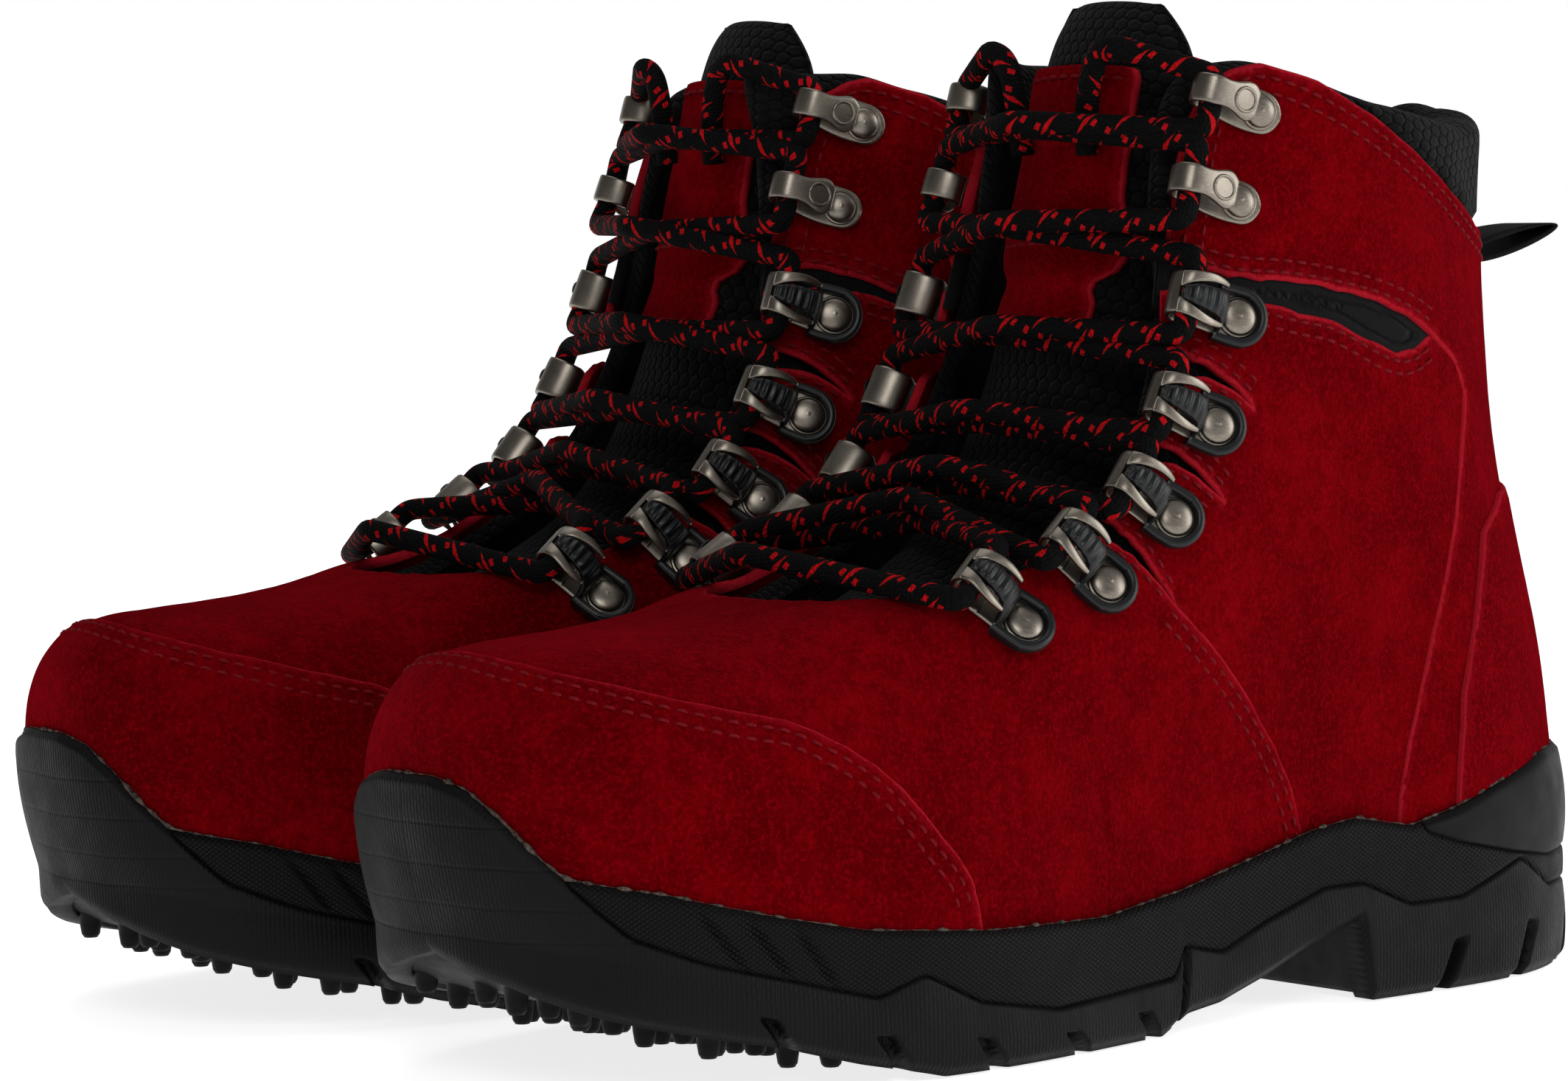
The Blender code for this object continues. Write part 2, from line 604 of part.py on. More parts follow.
def hook_profile():
    """A hook's side view, as (along, outward): plate, bend, returned tongue and domed rivet."""
    bend_at = HOOK_LENGTH - 12
    middle = HOOK_SHEET + HOOK_BORE
    outer = HOOK_BORE + HOOK_SHEET
    turns = np.linspace(-math.pi / 2, math.pi / 2, 5)
    profile = [(-12.0, 0.0)]
    profile += [(bend_at + outer * math.cos(turn), middle + outer * math.sin(turn))
                for turn in turns]
    profile += [(1.0, middle + outer), (1.0, middle + HOOK_BORE)]
    profile += [(bend_at + HOOK_BORE * math.cos(turn), middle + HOOK_BORE * math.sin(turn))
                for turn in turns[::-1]]
    return profile + [(-3.0, HOOK_SHEET), (-4.3, 3.0), (-9.3, 3.0), (-10.6, HOOK_SHEET),
                      (-12.0, HOOK_SHEET)]


def hook(name, side, index, sign, finish):
    centre, along, across, normal = hook_frame(index, sign)
    rows = [np.array([centre + along * reach + normal * out + across * half
                      for reach, out in hook_profile()])
            for half in (-HOOK_WIDTH / 2, HOOK_WIDTH / 2)]
    count = len(rows[0])
    faces = strips(rows, False, True) + [list(range(count)), list(range(2 * count - 1, count - 1, -1))]
    return solid(name, np.concatenate(rows), faces, side, finish)


def lace_seat(index, sign):
    """Where the lace runs through a hook: just before it, inside it and just after it."""
    centre, along, across, normal = hook_frame(index, sign)
    inside = centre + along * (HOOK_LENGTH - 12) + normal * (HOOK_SHEET + HOOK_BORE)
    upward = across * np.sign(across[1] + across[2])
    lift = normal * 1.3
    return inside - upward * LACE_STRAIGHT + lift, inside, inside + upward * LACE_STRAIGHT + lift


def over_tongue(near, lift):
    """The point a lift forward of the tongue's middle, level with a nearby point."""
    line = np.array(TONGUE_LINE)
    share = np.interp(near[2], line[:, 1], np.linspace(0, 1, len(line)))
    points, forward = frame_along(TONGUE_LINE, [share])
    y, z = points[0] + forward[0] * lift
    return np.array([lean(y), y, z])


def over_vamp():
    """The lowest run of lace, lying on the edge of the vamp at the bottom of the throat."""
    return skin(0, 0.98, SUEDE + LACE_RADIUS + 5.5)[0]


def lace_route():
    """The whole lace: down one criss-cross strand, across the lowest hooks and up the other."""
    strands = []
    for first in (1, -1):
        strand = []
        for index in range(len(HOOKS) - 1, -1, -1):
            sign = first if index % 2 == 0 else -first
            below, inside, above = lace_seat(index, sign)
            if strand:
                lift = LACE_OVER if (first > 0) == (index % 2 == 0) else LACE_UNDER
                if index < 2:
                    lift += 2 * LACE_RADIUS
                strand.append(over_tongue((strand[-1] + below) / 2, lift))
            strand += [below, inside, above]
        tail = strand[-1]
        strand.append(tail + (-first * 4, -7, 5))
        strand.append(over_tongue(tail + (0, 0, 7), 8) + (first * 15, 0, 0))
        for drop in LACE_TAIL:
            strand.append(over_tongue(tail - (0, 0, drop), 6.2) + (first * 8, 0, 0))
        strands.append(strand)
    bar = over_vamp()
    return strands[0][::-1] + [bar] + strands[1]


def lace(name, side, finish):
    """A round lace along its route, as one capped tube."""
    points = to_world(eased(lace_route(), LACE_STEP, LACE_EASE)[::LACE_EVERY], side)
    curve = bpy.data.curves.new(name, "CURVE")
    curve.dimensions = "3D"
    spline = curve.splines.new("POLY")
    spline.points.add(len(points) - 1)
    for spot, place in zip(spline.points, points):
        spot.co = (*place, 1)
    curve.bevel_depth = LACE_RADIUS / 1000
    curve.bevel_resolution = 1
    curve.use_fill_caps = True
    curve.materials.append(finish)
    cord = bpy.data.objects.new(name, curve)
    bpy.context.collection.objects.link(cord)
    return cord


def build_boot(label, side, finishes):
    suede, rubber, mesh, metal, cord, board, foam, webbing = finishes

    def named(piece):
        return f"{label}_{piece}"

    outsole(named("outsole"), side, rubber)
    midsole(named("midsole"), side, rubber)
    heel_cradle(named("heel_cradle"), side, rubber)
    insole(named("insole_board"), side, board, -0.2, 1.6, BOARD_INSET)
    insole(named("footbed"), side, foam, 1.9, 6.5, BOARD_INSET - 2.5, FOOTBED_PIVOT)
    panel(named("toe_cap"), toe_cap_outline(), side, suede)
    panel(named("vamp"), vamp_outline(), side, suede)
    panel(named("quarter_outer"), quarter_outline(CRESCENT_LOW), side, suede)
    inner = [(-station, height) for station, height in quarter_outline(SHORT_LOW)]
    panel(named("quarter_inner"), inner, side, suede)
    panel(named("collar_band"), collar_outline(), side, suede)
    panel(named("heel_patch"), heel_patch_outline(), side, suede)
    lining(named("lining"), side, mesh)
    tongue(named("tongue"), side, mesh)
    tongue_shield(named("tongue_shield"), side, suede)
    pull_loop(named("pull_loop"), side, webbing)
    for index in range(len(HOOKS)):
        for sign, edge in ((1, "outer"), (-1, "inner")):
            hook(named(f"hook_{edge}_{index + 1}"), side, index, sign, metal)
    lace(named("lace"), side, cord)


def main():
    for thing in list(bpy.data.objects):
        bpy.data.objects.remove(thing)
    finishes = (
        material("red_suede", (0.32, 0.006, 0.012), 0.9),
        material("black_rubber", (0.012, 0.012, 0.013), 0.6),
        material("black_mesh", (0.008, 0.008, 0.009), 0.8),
        material("gunmetal", (0.42, 0.39, 0.36), 0.35, 1.0),
        material("flecked_lace", (0.015, 0.010, 0.010), 0.8),
        material("insole_board", (0.35, 0.28, 0.20), 0.9),
        material("footbed_foam", (0.03, 0.03, 0.032), 0.9),
        material("black_webbing", (0.010, 0.010, 0.011), 0.8),
    )
    build_boot("left", 1, finishes)
    build_boot("right", -1, finishes)


main()
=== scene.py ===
"""Looks for a pair of laced suede hiking boots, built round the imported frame."""

import math

import bpy
import numpy as np
from mathutils import Matrix, Vector
from mathutils.geometry import delaunay_2d_cdt


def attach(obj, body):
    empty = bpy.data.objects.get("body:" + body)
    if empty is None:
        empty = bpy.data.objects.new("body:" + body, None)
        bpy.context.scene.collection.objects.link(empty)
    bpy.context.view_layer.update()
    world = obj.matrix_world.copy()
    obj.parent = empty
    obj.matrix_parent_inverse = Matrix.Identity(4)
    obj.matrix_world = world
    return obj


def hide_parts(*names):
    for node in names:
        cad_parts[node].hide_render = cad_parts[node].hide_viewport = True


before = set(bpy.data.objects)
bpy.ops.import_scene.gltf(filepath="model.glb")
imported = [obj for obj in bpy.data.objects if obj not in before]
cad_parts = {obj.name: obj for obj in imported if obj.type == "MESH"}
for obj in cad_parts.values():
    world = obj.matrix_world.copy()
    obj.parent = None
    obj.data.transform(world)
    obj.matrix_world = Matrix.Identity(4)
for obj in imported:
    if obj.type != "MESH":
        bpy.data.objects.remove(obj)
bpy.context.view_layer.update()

# The boots' shared shape, as the frame has it: millimetres in boot space, x to the foot's outer
# side, y from toe to heel, z up. A place on the skin is (station, height).
BOOT_MIDDLE = 150.0
BOOT_SPACING = 114.0
SPLAY = math.radians(7.3)
RIGHT_FORWARD = 4.0
PAIR_MIDDLE = (-3.58, 2.21, 0.0)
RIM_IN = 3.1
RIM_OUT = 5.4
FOOT_LINE = 0.03
THROAT_LINE = 0.96
TOE_LEAN = -6.0
WAIST_PULL = 0.12
STRETCH = np.array([33.0, 130.0])  # millimetres to one station round and to the skin's height

SKIN = (
    ((0, 15.5, 30), (0, 11, 56), (0, 18.5, 77), (0, 52, 80), (0, 88, 86.5)),
    ((22.5, 21.5, 28.5), (23.5, 17.5, 54), (18, 26, 75), (10, 56, 80.5), (9, 89, 86)),
    ((39, 45.5, 22), (41, 45, 46), (34, 49.5, 69), (21, 70, 80.5), (18, 92, 85.5)),
    ((47, 84.5, 16), (48, 84, 39), (43, 83.5, 61), (33, 89, 80), (27, 100, 85.5)),
    ((45, 120.5, 15.5), (46, 118, 39.5), (43, 115.5, 63.5), (39, 113, 79.5), (33, 115, 89)),
    ((40, 155.5, 17.5), (42, 152, 43.5), (42, 147.5, 69.5), (40, 142, 91), (34, 139.5, 103)),
    ((38, 190.5, 21.5), (40, 185.5, 51.5), (41, 177, 85), (40, 167, 116), (32, 160.5, 136.5)),
    ((38.5, 222.5, 25), (39.5, 217.5, 59), (40, 206.5, 99), (39, 191.5, 143.5), (27, 170.5, 184)),
    ((36, 253, 27), (37, 247.5, 64), (36, 238.5, 104.5), (38, 225.5, 145), (38, 201.5, 184.5)),
    ((22, 277, 28.5), (22, 272.5, 65.5), (20, 264.5, 104), (22, 258.5, 142), (28, 250.5, 175)),
    ((0, 286, 29), (0, 282.5, 65.5), (0, 273.5, 103.5), (0, 268.5, 141.5), (0, 273.5, 177.5)),
)
HEEL = len(SKIN) - 1
ROUND = 2 * HEEL
ROWS = len(SKIN[0])

RUBBER_TOP = ((0, 59), (0.3, 59), (0.6, 57), (0.84, 52), (1.03, 46), (1.21, 41), (1.75, 37.5),
              (2.3, 32), (2.7, 28.5), (3.4, 26), (4.3, 25), (4.95, 27.5), (5.6, 32), (6.05, 35.5),
              (6.42, 37), (6.9, 34), (7.3, 36.5), (7.75, 40.5), (8.35, 45), (10, 45))
OUTSOLE_TOP = ((0, 59), (0.3, 59), (0.6, 57), (0.84, 52), (1.03, 46), (1.21, 41), (1.4, 35),
               (1.55, 30.5), (1.95, 25), (2.3, 21.5), (2.75, 16.5), (2.98, 20), (3.3, 13.7),
               (3.85, 10), (4.84, 11.5), (4.91, 17.5), (5.24, 15), (5.6, 19.5), (6.1, 24.5),
               (6.42, 24.5), (6.83, 19), (7.3, 19), (7.9, 25), (8.3, 18), (10, 16))
MIDSOLE_TOP = ((6.9, 60), (6.95, 33.5), (7.3, 30), (7.8, 26.5), (8.3, 24), (10, 24))
TREAD = ((0, 26), (0.75, 21), (1.36, 15.5), (1.75, 12.5), (2.3, 8.3), (2.67, 4), (3.0, 1),
         (3.1, 0), (4.75, 0), (4.97, 3.5), (5.24, 4.5), (5.6, 8), (6.0, 13), (6.42, 16.5),
         (6.5, 0), (10, 0))
BUMPER_END = 1.25
CRADLE_START = 7.0

TOE_SEAM = ((0, 0.53), (1, 0.51), (2, 0.5), (2.38, 0.51), (2.7, 0.48), (2.97, 0.41),
            (3.16, 0.31), (3.33, 0.21), (3.4, FOOT_LINE))
VAMP_SEAM = ((6.08, FOOT_LINE), (5.99, 0.19), (5.76, 0.35), (5.51, 0.48), (5.28, 0.6))
BACKSTAY_SEAM = ((7.93, 0.67), (8.19, 0.62), (8.16, 0.57), (7.96, 0.5), (7.69, 0.41),
                 (7.39, 0.33), (7.12, 0.24), (6.92, 0.15), (6.8, FOOT_LINE))
PATCH_SEAM = ((7.3, FOOT_LINE), (7.46, 0.19), (7.61, 0.27), (7.85, 0.35), (8.19, 0.44), (9, 0.47),
              (10, 0.48))
COLLAR_LINE = ((6.25, 0.99), (6.5, 0.97), (6.75, 0.965), (7, 0.965), (7.3, 0.975), (7.6, 0.99),
               (7.89, 0.985), (8.14, 0.96), (8.33, 0.93), (8.6, 0.88), (8.9, 0.84), (9.4, 0.82),
               (10, 0.815))
CRESCENT_TOP = ((6.25, 0.99), (6.48, 0.86), (6.78, 0.78), (7.19, 0.73), (7.64, 0.7), (7.93, 0.67))
CRESCENT_LOW = ((6.13, 1), (6.4, 0.85), (6.82, 0.74), (7.13, 0.7), (7.45, 0.66), (7.7, 0.65),
                (7.93, 0.67))
SHORT_TOP = ((6.22, 0.99), (6.4, 0.9), (6.88, 0.75), (7.4, 0.7), (7.93, 0.67))
SHORT_LOW = ((6.12, 1), (6.36, 0.88), (6.88, 0.74), (7.4, 0.69), (7.93, 0.67))
SLITS = (((4.82, 0.96), (5.28, 0.6), (4.98, 0.955)), ((5.32, 0.985), (5.89, 0.65), (5.46, 0.985)),
         ((5.76, 0.985), (6.33, 0.7), (5.88, 0.985)))
HOOKS = (((7.35, 0.92), (6.99, 0.98)), ((6.86, 0.85), (6.5, 0.99)), ((6.45, 0.78), (6.08, 0.98)),
         ((5.97, 0.74), (5.63, 0.98)), ((5.43, 0.71), (5.15, 0.97)), ((4.79, 0.73), (4.57, 0.99)),
         ((4.15, 0.73), (3.7, 0.99)))
OPEN_HOOKS = 2
HOOK_SHEET = 1.1
HOOK_BORE = 4.0
SUEDE = 2.0

TONGUE_LINE = ((94, 77), (105, 81.5), (117, 87), (136, 98), (150, 117), (159, 139),
               (164.5, 160), (169.5, 182), (176, 201))
TONGUE_HALF = (14, 19, 23, 26, 25, 24, 23, 22, 21)
TONGUE_CROWN = 12.0

LOOP_ROOT = (271.9, 147.0)
LOOP_REACH = 31.0
LOOP_RISE = 3.0
LOOP_HEIGHT = 10.5
LOOP_WIDTH = 14.0

LACE_RADIUS = 2.3
LACE_UNDER = 6.2
LACE_OVER = 11.8
LACE_STEP = 0.8
LACE_EASE = 1.8
LACE_STRAIGHT = 8.0


# ---------------------------------------------------------------- the boot's surfaces

def curvature(count, closed):
    """Matrix from a spline's values to its second derivatives at its knots."""
    left = 4 * np.eye(count)
    right = -12 * np.eye(count)
    for row in range(count):
        for column in (row - 1, row + 1):
            if closed or 0 <= column < count:
                left[row, column % count] += 1
                right[row, column % count] += 6
    if not closed:
        for row in (0, count - 1):
            left[row] = np.eye(count)[row]
            right[row] = 0
    return np.linalg.solve(left, right)


def weights(count, places, closed):
    """How much each of a smooth curve's knots counts at each place along it."""
    places = np.asarray(places, float)
    knot = np.floor(places).astype(int)
    if not closed:
        knot = np.clip(knot, 0, count - 2)
    after = (places - knot)[:, None]
    before = 1 - after
    second = curvature(count, closed)
    ones = np.eye(count)
    here, there = knot % count, (knot + 1) % count
    line = before * ones[here] + after * ones[there]
    return line + ((before**3 - before) * second[here] + (after**3 - after) * second[there]) / 6


def smooth(points, count):
    """Points spread along the smooth open curve through the given ones."""
    points = np.asarray(points, float)
    return weights(len(points), np.linspace(0, len(points) - 1, count), False) @ points


def run_along(points):
    """The length of a path up to each of its points."""
    return np.concatenate([[0], np.cumsum(np.linalg.norm(np.diff(points, axis=0), axis=1))])


def eased(route, step, blur):
    """Evenly spaced points along a route, with its corners rounded off."""
    route = np.asarray(route)
    run = run_along(route)
    places = np.linspace(0, run[-1], int(run[-1] / step) + 1)
    points = np.stack([np.interp(places, run, route[:, axis]) for axis in range(3)], axis=1)
    reach = int(3 * blur / step)
    bell = np.exp(-0.5 * (np.arange(-reach, reach + 1) * step / blur) ** 2)
    padded = np.pad(points, ((reach, reach), (0, 0)), mode="edge")
    columns = [np.convolve(padded[:, axis], bell / bell.sum(), mode="valid") for axis in range(3)]
    return np.stack(columns, axis=1)


OUTER = np.array(SKIN, float)
TABLE = np.concatenate([OUTER, OUTER[HEEL - 1:0:-1] * (-1, 1, 1)])


def lean(y):
    """Sideways shift of the boot's middle line: towards the inner side at the toe."""
    back = np.clip(np.asarray(y) / 130, 0, 1)
    return TOE_LEAN * (1 - back * back * (3 - 2 * back))


def bare_skin(station, height):
    around = weights(ROUND, station, True)
    up = weights(ROWS, np.asarray(height) * (ROWS - 1), False)
    point = np.einsum("mi,mk,ikc->mc", around, up, TABLE, optimize=True)
    point[:, 0] += lean(point[:, 1])
    waist = WAIST_PULL * np.exp(-((point[:, 1] - 165) / 40) ** 2 - (point[:, 2] / 80) ** 2)
    point[:, 0] *= np.where(point[:, 0] < 0, 1 - waist, 1)
    return point


def outward(station, height):
    """The skin's unit normals."""
    step = 0.01
    along = bare_skin(station + step, height) - bare_skin(station - step, height)
    up = bare_skin(station, height + step / 3) - bare_skin(station, height - step / 3)
    normal = np.cross(along, up)
    return normal / np.linalg.norm(normal, axis=1)[:, None]


def skin(station, height, out=0.0):
    """Points at a distance outwards from the skin."""
    station, height = np.broadcast_arrays(np.atleast_1d(station), np.atleast_1d(height))
    station, height = station.astype(float), height.astype(float)
    return bare_skin(station, height) + outward(station, height) * np.reshape(out, (-1, 1))


def side_of(station):
    """How far round from the toe a station is, on either side."""
    return np.abs((np.asarray(station) + HEEL) % ROUND - HEEL)


def level(line, station, blur=0.03):
    """Smooth height of one of the sole's lines at stations of either side."""
    fine = np.linspace(-0.2, HEEL + 0.2, 2081)
    at, height = np.array(line, float).T
    values = np.interp(HEEL - np.abs(HEEL - np.abs(fine)), at, height)
    reach = int(3 * blur / (fine[1] - fine[0]))
    bell = np.exp(-0.5 * (np.arange(-reach, reach + 1) * (fine[1] - fine[0]) / blur) ** 2)
    values = np.convolve(np.pad(values, reach, mode="edge"), bell / bell.sum(), mode="valid")
    return np.interp(side_of(station), fine, values)


def wall(station, z, out):
    """Rows of points of the sole's wall; z and out hold a row for each ring, one value a station."""
    heights = np.linspace(0, 0.4, 17)
    count = len(station)
    grid = bare_skin(np.repeat(station, 17), np.tile(heights, count))[:, 2].reshape(count, 17)
    height = np.stack([np.interp(z[:, k], grid[k], heights) for k in range(count)], axis=1)
    points = skin(np.tile(station, len(z)), height.ravel(), np.ravel(out))
    points[:, 2] = np.ravel(z)
    return points.reshape(len(z), count, 3)


def to_world(points, side):
    """Boot-space millimetres to world metres; side is 1 for the left boot, -1 for the right."""
    points = np.asarray(points, float) - (0, BOOT_MIDDLE, 0)
    if side < 0:
        turn = np.array(Matrix.Rotation(-SPLAY, 3, "Z"))
        points = (points * (-1, 1, 1)) @ turn.T - (0, RIGHT_FORWARD, 0)
    return (points + (side * BOOT_SPACING / 2, 0, 0) - PAIR_MIDDLE) / 1000


def wave(points, size, seed):
    """Smooth seeded unevenness between about -1 and 1, with features of a given size."""
    points = np.asarray(points, float)
    drawn = np.random.default_rng(seed)
    total = np.zeros(len(points))
    for _ in range(12):
        turn = drawn.normal(size=points.shape[1])
        turn *= drawn.uniform(0.6, 1.4) / np.linalg.norm(turn)
        total += np.sin(points @ turn * (2 * math.pi / size) + drawn.uniform(0, 2 * math.pi))
    return total / 4


# ---------------------------------------------------------------- meshes

def quads(rows, columns, loop_rows, loop_columns):
    """Faces of a grid of points."""
    row = np.arange(rows if loop_rows else rows - 1)
    column = np.arange(columns if loop_columns else columns - 1)
    row, column = (a.ravel() for a in np.meshgrid(row, column, indexing="ij"))
    down, beside = (row + 1) % rows, (column + 1) % columns
    return np.stack([row * columns + column, row * columns + beside,
                     down * columns + beside, down * columns + column], axis=1)


def outside(points, faces):
    """The same faces, turned so that a closed shape faces out."""
    faces = [list(face) for face in faces]
    corners = np.array([face[:3] for face in faces])
    a, b, c = (points[corners[:, k]] for k in range(3))
    inside = np.einsum("ij,ij->i", a - points.mean(0), np.cross(b - points.mean(0), c - points.mean(0)))
    return faces if inside.sum() > 0 else [face[::-1] for face in faces]


def piece(name, points, faces, finish, body="boot", nodes=(), place=None, sides=(1, -1)):
    """One piece on each boot, riding on that boot's body and standing for its CAD nodes."""
    points = np.asarray(points, float)
    faces = outside(points, faces)
    made = []
    for side in sides:
        label = "left" if side > 0 else "right"
        mesh = bpy.data.meshes.new(f"{label}_{name}")
        turned = faces if side > 0 else [face[::-1] for face in faces]
        mesh.from_pydata(to_world(points, side).tolist(), [], turned)
        if place is not None:
            attribute = mesh.attributes.new("place", "FLOAT_VECTOR", "POINT")
            attribute.data.foreach_set("vector", np.asarray(place, np.float32).ravel())
        mesh.materials.append(finish)
        mesh.shade_smooth()
        thing = bpy.data.objects.new(f"{label}_{name}", mesh)
        bpy.context.scene.collection.objects.link(thing)
        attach(thing, f"{label}_{body}")
        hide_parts(*[f"{label}_{node}" for node in nodes])
        made.append(thing)
    return made


def lathe(profile, count=24):
    """A turned shape about n, from (radius, n) pairs, in a hook's (along, across, out) space."""
    turn = np.linspace(0, 2 * math.pi, count, endpoint=False)
    rows = [np.stack([radius * np.cos(turn), radius * np.sin(turn), np.full(count, out)], axis=1)
            for radius, out in profile]
    faces = [list(face) for face in quads(len(rows), count, False, True)]
    faces += [list(range(count)), list(range((len(rows) - 1) * count, len(rows) * count))[::-1]]
    return np.concatenate(rows), faces


def sweep(path, normals, across, half, thick, sharp=4):
    """A flat bar along a path, with rounded edges: half-widths and thicknesses at each point."""
    turn = np.linspace(0, 2 * math.pi, 16, endpoint=False)
    wide = np.sign(np.cos(turn)) * np.abs(np.cos(turn)) ** (2 / sharp)
    deep = np.sign(np.sin(turn)) * np.abs(np.sin(turn)) ** (2 / sharp)
    rows = [point + np.outer(wide * w, side) + np.outer(deep * t / 2, up)
            for point, up, side, w, t in zip(path, normals, across, half, thick)]
    faces = [list(face) for face in quads(len(rows), 16, False, True)]
    faces += [list(range(16)), list(range((len(rows) - 1) * 16, len(rows) * 16))[::-1]]
    return np.concatenate(rows), faces


def tube(path, radius, count=8):
    """A round bar along a path; radius is one value or one for each point."""
    path = np.asarray(path, float)
    ahead = np.gradient(path, axis=0)
    ahead /= np.linalg.norm(ahead, axis=1)[:, None]
    side = np.zeros_like(path)
    last = np.cross(ahead[0], (0.3, 0.2, 1.0))
    for k, direction in enumerate(ahead):
        last = last - direction * (last @ direction)
        last /= np.linalg.norm(last)
        side[k] = last
    up = np.cross(ahead, side)
    turn = np.linspace(0, 2 * math.pi, count, endpoint=False)
    ring = side[:, None] * np.cos(turn)[None, :, None] + up[:, None] * np.sin(turn)[None, :, None]
    points = path[:, None] + ring * np.reshape(radius, (-1, 1, 1))
    faces = [list(face) for face in quads(len(path), count, False, True)]
    faces += [list(range(count)), list(range((len(path) - 1) * count, len(path) * count))[::-1]]
    return points.reshape(-1, 3), faces


def gather(parts):
    """Several shapes' points and faces as one."""
    points, faces, start = [], [], 0
    for shape, its_faces in parts:
        points.append(shape)
        turned = outside(shape, its_faces)
        faces += [[corner + start for corner in face] for face in turned]
        start += len(shape)
    return np.concatenate(points), faces


# ---------------------------------------------------------------- materials

class Nodes:
    """A material's nodes, made and linked in single calls."""

    def __init__(self, name, roughness, metallic=0.0, specular=0.5):
        self.material = bpy.data.materials.new(name)
        self.material.use_nodes = True
        self.tree = self.material.node_tree
        self.shader = self.tree.nodes["Principled BSDF"]
        self.shader.inputs["Roughness"].default_value = roughness
        self.shader.inputs["Metallic"].default_value = metallic
        self.shader.inputs["Specular IOR Level"].default_value = specular

    def put(self, socket, value):
        if isinstance(value, bpy.types.NodeSocket):
            self.tree.links.new(value, socket)
        elif value is not None:
            socket.default_value = value

    def node(self, kind, values=(), **settings):
        made = self.tree.nodes.new(kind)
        for key, value in settings.items():
            setattr(made, key, value)
        for key, value in dict(values).items():
            self.put(made.inputs[key], value)
        return made

    def math(self, operation, a, b=None, c=None):
        made = self.node("ShaderNodeMath", operation=operation)
        for socket, value in zip(made.inputs, (a, b, c)):
            self.put(socket, value)
        return made.outputs[0]

    def step(self, value, low, high, start=0.0, end=1.0):
        """A smooth ramp of a value."""
        made = self.node("ShaderNodeMapRange", interpolation_type="SMOOTHSTEP")
        for key, number in (("Value", value), ("From Min", low), ("From Max", high),
                            ("To Min", start), ("To Max", end)):
            self.put(made.inputs[key], number)
        return made.outputs[0]

    def object_place(self):
        return self.node("ShaderNodeTexCoord").outputs["Object"]

    def place(self):
        """The piece's own surface measures: along, up and a third, in millimetres."""
        made = self.node("ShaderNodeAttribute", attribute_name="place")
        split = self.node("ShaderNodeSeparateXYZ", {0: made.outputs["Vector"]})
        return made.outputs["Vector"], *split.outputs

    def noise(self, vector, scale, detail=3.0, rough=0.55):
        made = self.node("ShaderNodeTexNoise", {"Vector": vector, "Scale": scale, "Detail": detail,
                                                "Roughness": rough})
        return made.outputs[0]

    def mix(self, share, a, b):
        made = self.node("ShaderNodeMix", data_type="RGBA")
        for key, value in ((0, share), (6, a), (7, b)):
            self.put(made.inputs[key], (*value, 1) if isinstance(value, tuple) else value)
        return made.outputs[2]

    def bump(self, height, distance, strength=1.0, under=None):
        made = self.node("ShaderNodeBump", {"Height": height, "Distance": distance,
                                            "Strength": strength})
        self.put(made.inputs["Normal"], under)
        return made.outputs[0]

    def done(self, colour=None, normal=None, rough=None):
        self.put(self.shader.inputs["Base Color"], (*colour, 1) if isinstance(colour, tuple) else colour)
        self.put(self.shader.inputs["Normal"], normal)
        self.put(self.shader.inputs["Roughness"], rough)
        return self.material


def suede(name, rough_nap=1.0):
    """Napped red suede: mottled, with a paler raw edge; place's third value is 1 at a raw edge."""
    n = Nodes(name, 1.0, specular=0.0)
    spot = n.object_place()
    _, margin, _, edge = n.place()
    cloud = n.step(n.noise(spot, 38, 4), 0.34, 0.68)
    patch = n.step(n.noise(spot, 240, 4, 0.7), 0.40, 0.62)
    nap = n.noise(spot, 1000, 4, 0.75)
    base = n.mix(cloud, (0.085, 0.0001, 0.0009), (0.158, 0.0003, 0.0022))
    base = n.mix(n.math("MULTIPLY", patch, 0.5), base, (0.060, 0.0001, 0.0006))
    base = n.mix(n.math("MULTIPLY", n.step(nap, 0.46, 0.66), 0.46 * rough_nap), base,
                 (0.27, 0.0012, 0.0050))
    frayed = n.step(n.math("MULTIPLY_ADD", n.noise(spot, 900, 2), 0.5, edge), 0.88, 1.2)
    base = n.mix(n.math("MULTIPLY", frayed, 0.85), base, (0.46, 0.016, 0.028))
    halo = n.step(n.math("MULTIPLY_ADD", n.noise(spot, 330, 3, 0.7), 4.5, margin), 4.6, 2.2)
    base = n.mix(n.math("MULTIPLY", halo, 0.5), base, (0.27, 0.0045, 0.0105))
    n.shader.inputs["Sheen Weight"].default_value = 0.22
    n.shader.inputs["Sheen Roughness"].default_value = 0.4
    n.shader.inputs["Sheen Tint"].default_value = (1.0, 0.03, 0.06, 1)
    soft = n.bump(n.noise(spot, 210, 4), 0.0010, 0.5)
    fine = n.bump(nap, 0.0007 * rough_nap, 0.9, soft)
    return n.done(base, fine)


